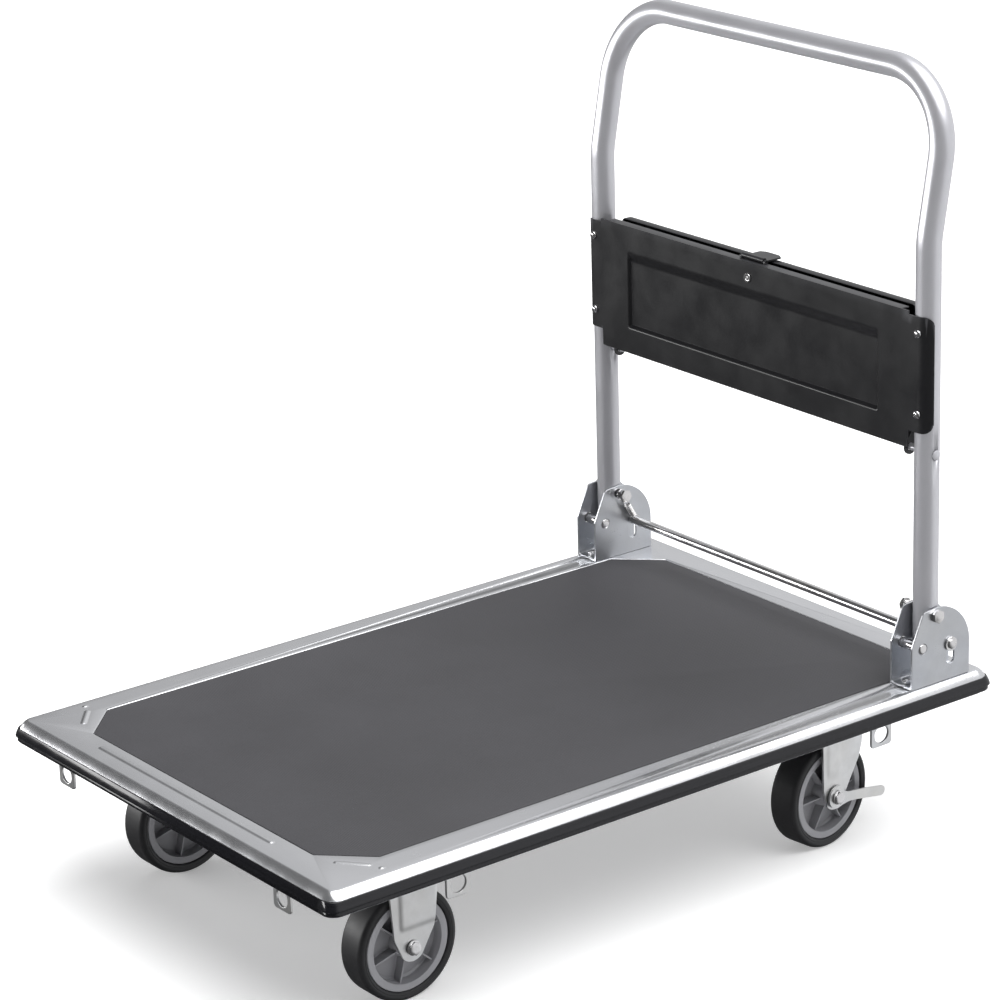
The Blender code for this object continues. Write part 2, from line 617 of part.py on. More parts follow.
def build_brake(side_name, side, turning, finish):
    """A lever on the outer end of the swivel castor's axle, with a pedal at the back."""
    face = FORK_HALF + GAP
    low, high = sorted((side * face, side * (face + BRAKE_WALL)))
    tilt = Matrix.Rotation(-BRAKE_SLOPE, 4, "Y")
    centre = Vector((SWIVEL_TRAIL, 0, WHEEL_RADIUS))

    def swung(shape):
        bmesh.ops.transform(shape, matrix=Matrix.Translation(centre) @ tilt, verts=shape.verts)
        return shape

    brake = place("brake_lever_" + side_name, swung(prism(brake_outline(), "Y", low, high)),
                  finish, turning, centre)
    inner = side * (face + BRAKE_WALL - BRAKE_TREAD)
    tread_low, tread_high = sorted((side * (face + BRAKE_WALL / 2), inner))
    foot = BRAKE_WALL / 3 - BRAKE_PEDAL / 2
    join(brake, swung(box((BRAKE_PEDAL / 2 - BRAKE_REACH, tread_low, foot),
                          (-WHEEL_RADIUS - TREAD_CLEARANCE, tread_high, foot + BRAKE_WALL))))
    cut(brake, rod("Y", (SWIVEL_TRAIL, WHEEL_RADIUS), AXLE_DIAMETER / 2 + RUNNING,
                   low - OVERCUT, high + OVERCUT))


def build_swivel_axle(side_name, side, turning, finish):
    """The axle runs through the fork and the brake lever beside it."""
    inner, outer = -FORK_HALF - GAP, FORK_HALF + BRAKE_WALL + 2 * GAP
    shape = bolt("Y", (SWIVEL_TRAIL, WHEEL_RADIUS), AXLE_DIAMETER, inner, outer, side)
    place("swivel_axle_" + side_name, shape, finish, turning, (SWIVEL_TRAIL, 0, WHEEL_RADIUS))


def build_swivel_castor(side_name, side, yaw, finishes):
    zinc = finishes["zinc_plate"]
    spot = (SWIVEL_X, side * CASTOR_Y, 0)
    base = make_pivot("swivel_base_" + side_name, spot)
    turning = make_pivot("swivel_" + side_name, spot, yaw)
    race_foot = build_swivel_plate(side_name, base, zinc)
    build_kingpin(side_name, base, zinc)
    build_swivel_fork(side_name, turning, race_foot, zinc)
    build_swivel_axle(side_name, side, turning, zinc)
    build_brake(side_name, side, turning, zinc)
    build_wheel("rear_" + side_name, turning, SWIVEL_TRAIL, finishes)


# --- handle brackets --------------------------------------------------------------
def bracket_outline():
    """Cheek of the bracket, in its X and Z: upright front, sloped nose, round back."""
    front, rear = PIVOT_X + BRACKET_FRONT, PIVOT_X - BRACKET_REAR
    arc_z = PIVOT_Z - BRACKET_ARC_DROP
    nose = [(front, BRACKET_FOOT), (front, DECK_TOP + BRACKET_UPRIGHT),
            (front - BRACKET_NOSE, PIVOT_Z + BRACKET_SHOULDER)]
    back = arc((rear + BRACKET_ARC, arc_z), BRACKET_ARC, math.radians(85), math.pi, 9)
    return nose + back + [(rear, BRACKET_FOOT)]


def slot_outline():
    """The upright slot that guides the release rod."""
    radius = ROD_RADIUS + RUNNING
    top = arc((ROD_X, ROD_Z), radius, 0, math.pi, 6)
    bottom = arc((ROD_X, ROD_Z - ROD_STROKE), radius, math.pi, 2 * math.pi, 6)
    return top + bottom


def build_bracket(side_name, side, finish):
    low, high = sorted((side * CHEEK_IN, side * CHEEK_OUT))
    bracket = place("handle_bracket_" + side_name, prism(bracket_outline(), "Y", low, high), finish)
    floor = BRACKET_FOOT + BRACKET_WALL
    cut(bracket, box((PIVOT_X - BRACKET_REAR - OVERCUT, low + BRACKET_WALL, floor),
                     (PIVOT_X + BRACKET_FRONT + OVERCUT, high - BRACKET_WALL, PIVOT_Z + 0.05)))
    reach = (low - OVERCUT, high + OVERCUT)
    cut(bracket, rod("Y", (PIVOT_X, PIVOT_Z), PIVOT_BOLT / 2 + GAP, *reach))
    cut(bracket, rod("Y", (STOP_X, STOP_Z), STOP_PIN / 2 + GAP, *reach))
    cut(bracket, prism(slot_outline(), "Y", *reach))
    cut(bracket, rod("Z", (PIVOT_X + BASE_BOLT_X, side * BRACKET_Y), BASE_BOLT / 2 + GAP,
                     BRACKET_FOOT - OVERCUT, floor + OVERCUT))


def build_bracket_pins(side_name, side, finish):
    """Pivot bolt, stop pin and base bolt of one bracket."""
    inner, outer = CHEEK_IN - SPRING_DIAMETER - SPRING_ROOM, CHEEK_OUT + GAP
    shape = bolt("Y", (PIVOT_X, PIVOT_Z), PIVOT_BOLT, inner, outer, side)
    place("pivot_bolt_" + side_name, shape, finish, None, (PIVOT_X, side * BRACKET_Y, PIVOT_Z))
    low, high = sorted((side * (CHEEK_IN - 0.001), side * (CHEEK_OUT + 0.001)))
    place("stop_pin_" + side_name, rod("Y", (STOP_X, STOP_Z), STOP_PIN / 2, low, high), finish)
    spot = (PIVOT_X + BASE_BOLT_X, side * BRACKET_Y)
    shape = bolt("Z", spot, BASE_BOLT, DECK_TOP - SHEET - GAP, BRACKET_FOOT + BRACKET_WALL + GAP)
    place("base_bolt_" + side_name, shape, finish)


def build_spring(side_name, side, finish):
    """The outer shape of the extension spring between the pivot bolt and the rod."""
    top, foot = Vector((PIVOT_X, 0, PIVOT_Z)), Vector((ROD_X, 0, ROD_Z))
    along = (foot - top).normalized()
    across = Vector((-along.z, 0, along.x))
    y = side * (CHEEK_IN - SPRING_ROOM / 2 - SPRING_DIAMETER / 2)
    rings = []
    for middle in (top + along * (PIVOT_BOLT / 2 + SPRING_END),
                   foot - along * (ROD_RADIUS + SPRING_END)):
        rings.append([middle + across * a + Vector((0, y + b, 0))
                      for a, b in circle(SPRING_DIAMETER / 2)])
    place("return_spring_" + side_name, loft(rings), finish)


def build_release_rod(finish):
    """The foot bar: a round rod with a clip ring outside each bracket."""
    half = CHEEK_OUT + ROD_OVERHANG
    ring_in, ring = CHEEK_OUT + GAP, ROD_RADIUS + CLIP_HEIGHT
    ring_out = ring_in + CLIP_WIDTH
    half_profile = [(ROD_RADIUS, half), (ROD_RADIUS, ring_out), (ring, ring_out), (ring, ring_in),
                    (ROD_RADIUS, ring_in)]
    profile = [(r, -a) for r, a in half_profile] + list(reversed(half_profile))
    shape = turned(profile, "Y", (ROD_X, ROD_Z), ROUND)
    place("release_rod", shape, finish, None, (ROD_X, 0, ROD_Z))


# --- handle -----------------------------------------------------------------------
def handle_plane_point(along):
    """Where a distance along the leg's centre line, from the bend's start, lies in X and Z."""
    turn = min(max(along / BEND_RADIUS, 0.0), BEND_ANGLE)
    back = BEND_RADIUS * (1 - math.cos(turn))
    rise = BEND_RADIUS * math.sin(turn)
    straight = along - BEND_RADIUS * turn
    return PIVOT_X - back - straight * math.sin(turn), BEND_Z + rise + straight * math.cos(turn)


def handle_path():
    """Centre line of the U-shaped handle, from the foot of the left leg to the right one."""
    bend = BEND_RADIUS * BEND_ANGLE
    rise = BEND_HEIGHT - BEND_RADIUS * math.sin(BEND_ANGLE)
    top = bend + rise / math.cos(BEND_ANGLE)
    foot = PIVOT_Z - TUBE_BELOW_PIVOT - BEND_Z
    flat = [(BRACKET_Y, foot), (BRACKET_Y, 0.0), (BRACKET_Y, bend / 2), (BRACKET_Y, bend)]
    corner = (BRACKET_Y - GRIP_CORNER, top - GRIP_CORNER)
    flat += arc(corner, GRIP_CORNER, 0, math.pi / 2, GRIP_STEPS)
    flat += [(-y, along) for y, along in reversed(flat)]
    points = []
    for y, along in flat:
        x, z = handle_plane_point(along)
        points.append(Vector((x, y, z)))
    return points


def tube_rings(path, radius):
    """Rings of one radius along a path, carried round its bends without twisting."""
    across = Vector((1, 0, 0))
    steps = [(b - a).normalized() for a, b in zip(path, path[1:])]
    rings = []
    for point, before, after in zip(path, steps[:1] + steps, steps + steps[-1:]):
        along = (before + after).normalized()
        across = (across - along * across.dot(along)).normalized()
        other = along.cross(across)
        rings.append([point + across * a + other * b
                      for a, b in circle(radius, sides=TUBE_SIDES)])
    return rings


def build_handle_tube(finish):
    path = handle_path()
    outer = tube_rings(path, TUBE_RADIUS)
    inner = tube_rings(path, TUBE_RADIUS - TUBE_WALL)
    tube = place("handle_tube", loft(outer + list(reversed(inner)), closed=True), finish)
    half = BRACKET_Y + TUBE_RADIUS + OVERCUT
    cut(tube, rod("Y", (PIVOT_X, PIVOT_Z), PIVOT_BOLT / 2 + RUNNING, -half, half))
    cut(tube, rod("Y", (PIVOT_X, TRAY_PIVOT_Z), TRAY_BOLT / 2 + GAP, -half, half))
    for side in SIDES:
        for drop in (SCREW_HIGH, SCREW_LOW):
            cut(tube, rod("X", (side * BRACKET_Y, PANEL_TOP_Z - drop), SCREW_SHANK / 2 + GAP,
                          PIVOT_X, PANEL_FRONT_X))
    return tube


def panel_columns():
    """Stations across the panel: each gives X, Y, the outward normal and its ear share."""
    radius = TUBE_RADIUS + GAP + PANEL_SHEET / 2
    middle = PIVOT_X + radius
    wrap = [EAR_WRAP * k / 4 for k in (4, 3, 2, 1)]
    ear = [(PIVOT_X + radius * math.cos(t), BRACKET_Y + radius * math.sin(t), t) for t in wrap]
    recess = BRACKET_Y - PANEL_RECESS_INSET
    edge = BRACKET_Y - TUBE_RADIUS
    flat = [(middle, y, 0.0) for y in (BRACKET_Y, edge + 0.004, edge, recess,
                                       recess - RECESS_SLOPE)]
    half = ear + flat
    return half + [(x, -y, -t) for x, y, t in reversed(half)]


def panel_rows(y, turn):
    """Heights and depths of one station across the panel, from its bottom edge up."""
    on_ear = abs(y) > BRACKET_Y - TUBE_RADIUS
    corner = EAR_CORNER if abs(turn) > 0.95 * EAR_WRAP else 0.0
    bottom = (EAR_BOTTOM if on_ear else PANEL_HEIGHT) - corner
    top = (EAR_TOP if on_ear else 0.0) + corner
    sunk = abs(y) < BRACKET_Y - PANEL_RECESS_INSET - RECESS_SLOPE / 2
    depth = RECESS_DEPTH if sunk else 0.0
    drops = (bottom, RECESS_BOTTOM, RECESS_BOTTOM - RECESS_SLOPE,
             RECESS_TOP + RECESS_SLOPE, RECESS_TOP, top)
    depths = (0.0, 0.0, depth, depth, 0.0, 0.0)
    return [(PANEL_TOP_Z - drop, sink) for drop, sink in zip(drops, depths)]


def panel_sheet():
    """The pressed sheet: two layers of a grid of points, joined round the edge."""
    shape = bmesh.new()
    grid = {}
    stations = panel_columns()
    for layer in (-1, 1):
        shift = layer * PANEL_SHEET / 2
        for i, (x, y, turn) in enumerate(stations):
            for j, (z, sink) in enumerate(panel_rows(y, turn)):
                spot = (x + shift * math.cos(turn) - sink, y + shift * math.sin(turn), z)
                grid[layer, i, j] = shape.verts.new(spot)
    right, top = len(stations) - 1, len(panel_rows(0, 0)) - 1
    for i in range(right):
        for j in range(top):
            for layer in (-1, 1):
                shape.faces.new([grid[layer, i + a, j + b]
                                 for a, b in ((0, 0), (1, 0), (1, 1), (0, 1))])
    edge = [(i, 0) for i in range(right)] + [(right, j) for j in range(top)]
    edge += [(i, top) for i in range(right, 0, -1)] + [(0, j) for j in range(top, 0, -1)]
    for (i, j), (k, m) in zip(edge, edge[1:] + edge[:1]):
        shape.faces.new([grid[-1, i, j], grid[-1, k, m], grid[1, k, m], grid[1, i, j]])
    return shape


def build_front_panel(finish):
    """A pressed sheet on the front of the legs: flat, with a sunk field and round ears."""
    panel = place("front_panel", panel_sheet(), finish)
    half = BRACKET_Y - HEM_END
    join(panel, box((PANEL_FRONT_X - HEM_DEPTH, -half, PANEL_TOP_Z - PANEL_SHEET),
                    (PANEL_FRONT_X - PANEL_SHEET / 2, half, PANEL_TOP_Z)))
    holes = [(side * BRACKET_Y, drop) for side in SIDES for drop in (SCREW_HIGH, SCREW_LOW)]
    for y, drop in holes + [(0, RIVET_DROP)]:
        cut(panel, rod("X", (y, PANEL_TOP_Z - drop), SCREW_SHANK / 2 + GAP,
                       PANEL_BACK_X - OVERCUT, PANEL_FRONT_X + OVERCUT))
    return panel


def build_panel_screw(name, side, drop, finish):
    """A dome-headed screw through the panel into the leg."""
    head, foot = PANEL_FRONT_X + GAP, PIVOT_X + TUBE_RADIUS - TUBE_WALL - 0.004
    radius = SCREW_HEAD / 2
    profile = [(SCREW_SHANK / 2, foot), (SCREW_SHANK / 2, head), (radius, head),
               (0.8 * radius, head + 0.6 * SCREW_DOME), (0.5 * radius, head + SCREW_DOME)]
    spot = (side * BRACKET_Y, PANEL_TOP_Z - drop)
    return place(name, turned(profile, "X", spot, ROUND), finish, None, (PANEL_FRONT_X, *spot))


def build_panel_rivet(finish):
    """The rivet above the sunk field, with a flat head in front and a tail behind."""
    head, tail = PANEL_FRONT_X + GAP, PANEL_BACK_X - GAP
    profile = [(RIVET_TAIL / 2, tail - 0.0015), (RIVET_TAIL / 2, tail), (SCREW_SHANK / 2, tail),
               (SCREW_SHANK / 2, head), (RIVET_HEAD / 2, head), (0.45 * RIVET_HEAD, head + 0.0012)]
    spot = (0, PANEL_TOP_Z - RIVET_DROP)
    return place("panel_rivet", turned(profile, "X", spot, ROUND), finish, None,
                 (PANEL_FRONT_X, *spot))


def build_panel_fasteners(finish):
    pieces = [build_panel_rivet(finish)]
    for side, side_name in ((1, "left"), (-1, "right")):
        for drop, level in ((SCREW_HIGH, "upper"), (SCREW_LOW, "lower")):
            pieces.append(build_panel_screw(f"panel_screw_{side_name}_{level}", side, drop, finish))
    return pieces


def build_latch_pin(finish):
    """The latch's pin with its two posts, standing on the panel's hem."""
    inner = LATCH_WIDTH / 2 + GAP
    outer = inner + LATCH_POST
    pin = place("latch_pin", rod("Y", (LATCH_X, LATCH_Z), LATCH_PIN / 2, -outer, outer), finish)
    for side in SIDES:
        low, high = sorted((side * inner, side * outer))
        join(pin, box((LATCH_X - LATCH_PIN, low, PANEL_TOP_Z + GAP),
                      (LATCH_X + LATCH_PIN, high, LATCH_Z)))
    return pin


def build_latch(finish):
    """A flat tongue hinged on the panel's hem, lying over the tray's top edge."""
    half = LATCH_WIDTH / 2
    profile = [(LATCH_BORE, -half), (LATCH_EYE, -half), (LATCH_EYE, half), (LATCH_BORE, half)]
    latch = place("latch_tongue", turned(profile, "Y", (LATCH_X, LATCH_Z), ROUND, closed=True),
                  finish, None, (LATCH_X, 0, LATCH_Z))
    middle = LATCH_Z - LATCH_EYE / 2
    root, rear = LATCH_X - LATCH_BORE - LATCH_RIM / 2, TRAY_BACK_X
    tip, shoulder = rear - LATCH_OVERLAP, half - LATCH_TAPER
    plan = [(root, half), (root, -half), (rear, -half), (tip, -shoulder), (tip, shoulder),
            (rear, half)]
    join(latch, prism(plan, "Z", middle - LATCH_PLATE / 2, middle + LATCH_PLATE / 2))
    return latch


def build_tray(finish):
    """A shallow pan between the legs, open to the front, with an ear at each hinge bolt."""
    half_z = (TRAY_BOTTOM - TRAY_TOP) / 2
    middle_z = PANEL_TOP_Z - TRAY_TOP - half_z

    def ring(x, inset):
        outline = rounded_rectangle(TRAY_HALF - inset, half_z - inset, TRAY_CORNER - inset, 3)
        return [(x, y, middle_z + z) for y, z in outline]

    rings = [ring(TRAY_BACK_X, 0), ring(TRAY_RIM_X, 0), ring(TRAY_RIM_X, PANEL_SHEET),
             ring(TRAY_BACK_X + PANEL_SHEET, PANEL_SHEET)]
    tray = place("tray_panel", loft(rings), finish, None, (PIVOT_X, 0, TRAY_PIVOT_Z))
    ear_top, ear_back = TRAY_PIVOT_Z + TRAY_EAR, TRAY_BACK_X + TRAY_DEPTH / 3
    for side in SIDES:
        low, high = sorted((side * TRAY_HALF, side * (TRAY_HALF - PANEL_SHEET)))
        outline = arc((PIVOT_X, TRAY_PIVOT_Z), TRAY_EYE, math.radians(-120), math.radians(60), 8)
        outline += [(TRAY_RIM_X - 0.002, ear_top), (ear_back, ear_top),
                    (ear_back, TRAY_PIVOT_Z + 0.006)]
        join(tray, prism(outline, "Y", low, high))
        cut(tray, rod("Y", (PIVOT_X, TRAY_PIVOT_Z), TRAY_BOLT / 2 + RUNNING, low - OVERCUT,
                      high + OVERCUT))
    return tray


def build_tray_bolts(finish):
    """Each bolt runs from inside the tray's ear through the leg."""
    bolts = []
    for side, side_name in ((1, "left"), (-1, "right")):
        inner = TRAY_HALF - PANEL_SHEET - GAP
        outer = BRACKET_Y + TUBE_RADIUS + GAP
        shape = bolt("Y", (PIVOT_X, TRAY_PIVOT_Z), TRAY_BOLT, inner, outer, side)
        bolts.append(place("tray_hinge_bolt_" + side_name, shape, finish, None,
                           (PIVOT_X, side * BRACKET_Y, TRAY_PIVOT_Z)))
    return bolts


def build_handle(finishes):
    """The folding handle, the latch and the tray, each hung on its own axis."""
    zinc, black = finishes["zinc_plate"], finishes["panel_paint"]
    handle_axis = make_pivot("handle_axis", (PIVOT_X, 0, PIVOT_Z))
    latch_axis = make_pivot("latch_axis", (LATCH_X, 0, LATCH_Z))
    tray_axis = make_pivot("tray_axis", (PIVOT_X, 0, TRAY_PIVOT_Z))
    hang(latch_axis, handle_axis)
    hang(tray_axis, handle_axis)
    fixed = [build_handle_tube(finishes["handle_paint"]), build_front_panel(black)]
    fixed += build_panel_fasteners(zinc) + build_tray_bolts(zinc) + [build_latch_pin(zinc)]
    for piece in fixed:
        hang(piece, handle_axis)
    hang(build_latch(black), latch_axis)
    hang(build_tray(black), tray_axis)


def build_cart():
    clear_scene()
    finishes = make_materials()
    zinc = finishes["zinc_plate"]
    build_deck(finishes["deck_paint"])
    build_mat(finishes["mat_rubber"])
    build_bumper(finishes["bumper_vinyl"])
    build_rails(finishes["deck_paint"])
    build_lugs(zinc)
    for side, side_name in ((1, "left"), (-1, "right")):
        build_fixed_castor(side_name, side, finishes)
        build_swivel_castor(side_name, side, SWIVEL_YAW if side > 0 else 0.0, finishes)
        build_bracket(side_name, side, zinc)
        build_bracket_pins(side_name, side, zinc)
        build_spring(side_name, side, zinc)
    build_release_rod(zinc)
    build_handle(finishes)


build_cart()
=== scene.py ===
"""Looks of the folding platform cart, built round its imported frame.

Frame: +X runs from the push handle to the deck's front edge, +Y to the cart's left
side, +Z up. Lengths are in metres. Every piece rides on the body of the node that it
stands for, and takes its place from that node's box or from a joint's axis.
"""

import json
import math

import bmesh
import bpy
from mathutils import Matrix, Vector


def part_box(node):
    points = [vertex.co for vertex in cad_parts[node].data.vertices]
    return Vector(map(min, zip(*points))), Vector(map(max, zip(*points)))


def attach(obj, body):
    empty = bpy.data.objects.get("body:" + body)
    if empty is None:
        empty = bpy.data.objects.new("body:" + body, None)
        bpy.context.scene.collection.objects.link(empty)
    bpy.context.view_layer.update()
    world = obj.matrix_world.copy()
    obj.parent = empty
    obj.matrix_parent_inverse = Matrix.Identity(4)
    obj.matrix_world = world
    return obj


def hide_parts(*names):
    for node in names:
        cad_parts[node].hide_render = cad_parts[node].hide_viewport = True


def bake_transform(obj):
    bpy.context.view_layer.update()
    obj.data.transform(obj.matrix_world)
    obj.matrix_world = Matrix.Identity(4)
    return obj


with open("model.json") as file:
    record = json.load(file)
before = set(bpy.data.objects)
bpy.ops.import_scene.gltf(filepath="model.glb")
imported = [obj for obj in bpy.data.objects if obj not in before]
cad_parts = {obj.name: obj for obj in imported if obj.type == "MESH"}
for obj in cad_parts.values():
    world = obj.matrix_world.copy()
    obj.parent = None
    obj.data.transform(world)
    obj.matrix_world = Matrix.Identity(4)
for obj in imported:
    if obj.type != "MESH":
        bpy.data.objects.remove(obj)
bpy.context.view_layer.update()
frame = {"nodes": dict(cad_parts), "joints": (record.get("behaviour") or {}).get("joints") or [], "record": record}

JOINTS = {joint["name"]: joint for joint in frame["joints"]}
PIVOT = Vector(JOINTS["handle_fold"]["pos_m"])
TRAY_PIVOT = Vector(JOINTS["tray_drop"]["pos_m"])
LATCH_PIN = Vector(JOINTS["latch_lift"]["pos_m"])
SIDES = ((1, "left"), (-1, "right"))


# --- camera, floor and light ------------------------------------------------------
def build_camera():
    """A long lens at the height of a standing person's chest, off the front left corner."""
    yaw, pitch, roll = -2.2184, 0.3370, -0.0297
    forward = Vector((math.cos(yaw) * math.cos(pitch), math.sin(yaw) * math.cos(pitch),
                      -math.sin(pitch)))
    right = Vector((math.sin(yaw), -math.cos(yaw), 0))
    up = right.cross(forward)
    side = right * math.cos(roll) + up * math.sin(roll)
    top = up * math.cos(roll) - right * math.sin(roll)
    camera = bpy.data.objects.new("camera", bpy.data.cameras.new("camera"))
    camera.data.sensor_width = 36
    camera.data.lens = 135.11
    camera.data.clip_end = 50
    turn = Matrix((side, top, -forward)).transposed().to_4x4()
    camera.matrix_world = Matrix.Translation((2.3267, 3.0754, 1.7684)) @ turn
    bpy.context.scene.collection.objects.link(camera)
    bpy.context.scene.camera = camera


def add_lamp(name, kind, spot, heading, **settings):
    """A light at a spot, shining along a heading."""
    light = bpy.data.lights.new(name, kind)
    for key, value in settings.items():
        setattr(light, key, value)
    lamp = bpy.data.objects.new(name, light)
    lamp.location = spot
    lamp.rotation_euler = Vector(heading).to_track_quat("-Z", "Y").to_euler()
    bpy.context.scene.collection.objects.link(lamp)


def build_world():
    """Studio walls: dim towards the front right of the cart, bright towards the rear left."""
    world = bpy.data.worlds.new("studio")
    bpy.context.scene.world = world
    world.use_nodes = True
    tree = world.node_tree
    place = node(tree, "ShaderNodeTexCoord").outputs["Generated"]
    bright = node(tree, "ShaderNodeVectorMath",
                  {0: place, 1: Vector((-0.80, 0.30, 0.46)).normalized()}, operation="DOT_PRODUCT")
    level = node(tree, "ShaderNodeMapRange",
                 {"Value": bright.outputs["Value"], "From Min": 0.04, "From Max": 0.56,
                  "To Min": 0.09, "To Max": 0.80}, interpolation_type="SMOOTHSTEP")
    wall = tree.nodes["Background"]
    wall.inputs["Color"].default_value = (0.985, 0.99, 1.0, 1)
    tree.links.new(level.outputs[0], wall.inputs["Strength"])


def build_floor():
    """A matt floor, faintly lit of itself; polished metal shows the walls and not the floor."""
    bpy.ops.mesh.primitive_plane_add(size=60)
    floor = bpy.context.object
    floor.name = "floor"
    material = bpy.data.materials.new("floor_pale")
    material.use_nodes = True
    shader = material.node_tree.nodes["Principled BSDF"]
    for socket, value in (("Base Color", (0.95, 0.95, 0.95, 1)), ("Roughness", 0.9),
                          ("Specular IOR Level", 0.05), ("Emission Color", (1, 1, 1, 1)),
                          ("Emission Strength", 0.28)):
        shader.inputs[socket].default_value = value
    floor.data.materials.append(material)
    floor.visible_glossy = False


def build_studio():
    """Pale floor, grey walls, one wide soft light overhead and one low strip box."""
    bpy.context.scene.view_settings.view_transform = "Standard"
    build_world()
    build_floor()
    add_lamp("overhead", "SUN", (0, 0, 0), (0.15, -0.25, -0.95), energy=3.0, angle=math.radians(70))
    spot, aim = Vector((2.35, -2.45, 0.68)), Vector((0, 0, 0.18))
    add_lamp("strip", "AREA", spot, aim - spot, shape="RECTANGLE", size=4.2, size_y=0.55, energy=80)


# --- materials --------------------------------------------------------------------
def node(tree, kind, inputs=(), **settings):
    """Add a node; an input is a value or another node's output."""
    made = tree.nodes.new(kind)
    for key, value in settings.items():
        setattr(made, key, value)
    for socket, value in dict(inputs).items():
        if isinstance(value, bpy.types.NodeSocket):
            tree.links.new(value, made.inputs[socket])
        else:
            made.inputs[socket].default_value = value
    return made


def shade(colour, factor):
    return (*(min(1.0, c * factor) for c in colour), 1.0)


class Recipe:
    """A material in the making; its patterns lie in the object's own coordinates."""

    def __init__(self, name, **constants):
        self.material = bpy.data.materials.new(name)
        self.material.use_nodes = True
        self.tree = self.material.node_tree
        self.shader = self.tree.nodes["Principled BSDF"]
        for socket, value in constants.items():
            self.shader.inputs[socket].default_value = value
        self.where = self.add("ShaderNodeTexCoord").outputs["Object"]

    def add(self, kind, inputs=(), **settings):
        return node(self.tree, kind, inputs, **settings)

    def noise(self, scale, detail=3.0, roughness=0.5, stretch=None):
        where = self.where
        if stretch:
            where = self.add("ShaderNodeMapping", {"Vector": where, "Scale": stretch}).outputs[0]
        return self.add("ShaderNodeTexNoise", {"Vector": where, "Scale": scale, "Detail": detail,
                                               "Roughness": roughness}).outputs["Fac"]

    def span(self, value, low, high, from_low=0.3, from_high=0.7):
        """Map a value to a range; the defaults suit a noise."""
        return self.add("ShaderNodeMapRange", {"Value": value, "From Min": from_low,
                                               "From Max": from_high, "To Min": low,
                                               "To Max": high}).outputs[0]

    def patches(self, low, high, scale, detail=3.0, roughness=0.5):
        return self.span(self.noise(scale, detail, roughness), low, high)

    def mix(self, share, first, second):
        return self.add("ShaderNodeMix", {0: share, 6: first, 7: second}, data_type="RGBA").outputs[2]

    def math(self, operation, first, second=0.0):
        return self.add("ShaderNodeMath", {0: first, 1: second}, operation=operation).outputs[0]

    def bump(self, height, strength, distance, under=None):
        inputs = {"Height": height, "Strength": strength, "Distance": distance}
        if under is not None:
            inputs["Normal"] = under
        return self.add("ShaderNodeBump", inputs).outputs[0]

    def edge_highlight_mask(self, width):
        """Nearly 0 on flats and 1 on outward edges: the mask for a painted highlight on edges."""
        point = self.add("ShaderNodeNewGeometry").outputs["Pointiness"]
        return self.span(point, 0.0, 1.0, 0.5 + width / 4, 0.5 + width)

    def finish(self, colour, roughness, normal):
        for socket, value in (("Base Color", colour), ("Roughness", roughness), ("Normal", normal)):
            self.tree.links.new(value, self.shader.inputs[socket])
        return self.material


def paint(name, colour, roughness, metallic, flake, peel=0.10, edge_highlight=None):
    """Sprayed and baked paint: a slight cloudiness, fine orange peel, and, when an edge colour is given, a painted
    highlight that lightens the outward edges.
    """
    made = Recipe(name, Metallic=metallic)
    tone = made.mix(made.patches(0.0, 1.0, 9.0, 4.0), shade(colour, 1 - flake),
                    shade(colour, 1 + flake))
    tone = made.mix(made.patches(0.0, 0.35, 2600.0, 1.0), tone, shade(colour, 1 + 3 * flake))
    # painted highlight: outward edges are mixed towards a lighter edge colour, standing in for light caught on the
    # edges
    if edge_highlight:
        tone = made.mix(made.edge_highlight_mask(0.10), tone, (*edge_highlight, 1.0))
    rough = made.patches(roughness - 0.05, roughness + 0.06, 26.0, 5.0)
    return made.finish(tone, rough, made.bump(made.noise(520.0, 2.0), peel, 0.00025))


def zinc(name, colour, roughness, cloudy=0.08):
    """Bright zinc plating: fine grain, soft cloudy spangle, a faint warm and cool tint."""
    made = Recipe(name, Metallic=1.0)
    cool = made.mix(made.patches(0.0, 1.0, 60.0, 4.0), shade(colour, 1 - cloudy),
                    shade(colour, 1 + cloudy))
    warm = shade((colour[0] * 1.03, colour[1], colour[2] * 0.94), 1.0)
    tone = made.mix(made.patches(0.0, 0.6, 17.0, 2.0), cool, warm)
    grain = made.noise(700.0)
    rough = made.math("ADD", made.span(grain, -0.05, 0.07),
                      made.patches(roughness - 0.05, roughness + 0.05, 35.0))
    return made.finish(tone, rough, made.bump(grain, 0.08, 0.00005))


def rubber(name, colour, roughness):
    """Moulded black rubber: fine grain, dusty patches."""
    made = Recipe(name)
    tone = made.mix(made.patches(0.0, 1.0, 22.0, 5.0, 0.6), shade(colour, 0.85), shade(colour, 1.25))
    rough = made.patches(roughness - 0.06, roughness + 0.08, 48.0, 4.0)
    return made.finish(tone, rough, made.bump(made.noise(900.0, 2.0), 0.25, 0.0002))


def vinyl(name):
    """Glossy extruded vinyl with faint lines along the extrusion."""
    made = Recipe(name, IOR=1.5)
    streaks = made.noise(14.0, 4.0, stretch=(1, 1, 60))
    tone = made.mix(made.span(streaks, 0.0, 1.0), (0.005, 0.005, 0.0065, 1),
                    (0.010, 0.010, 0.0125, 1))
    return made.finish(tone, made.patches(0.13, 0.20, 40.0, 5.0), made.bump(streaks, 0.05, 0.0003))


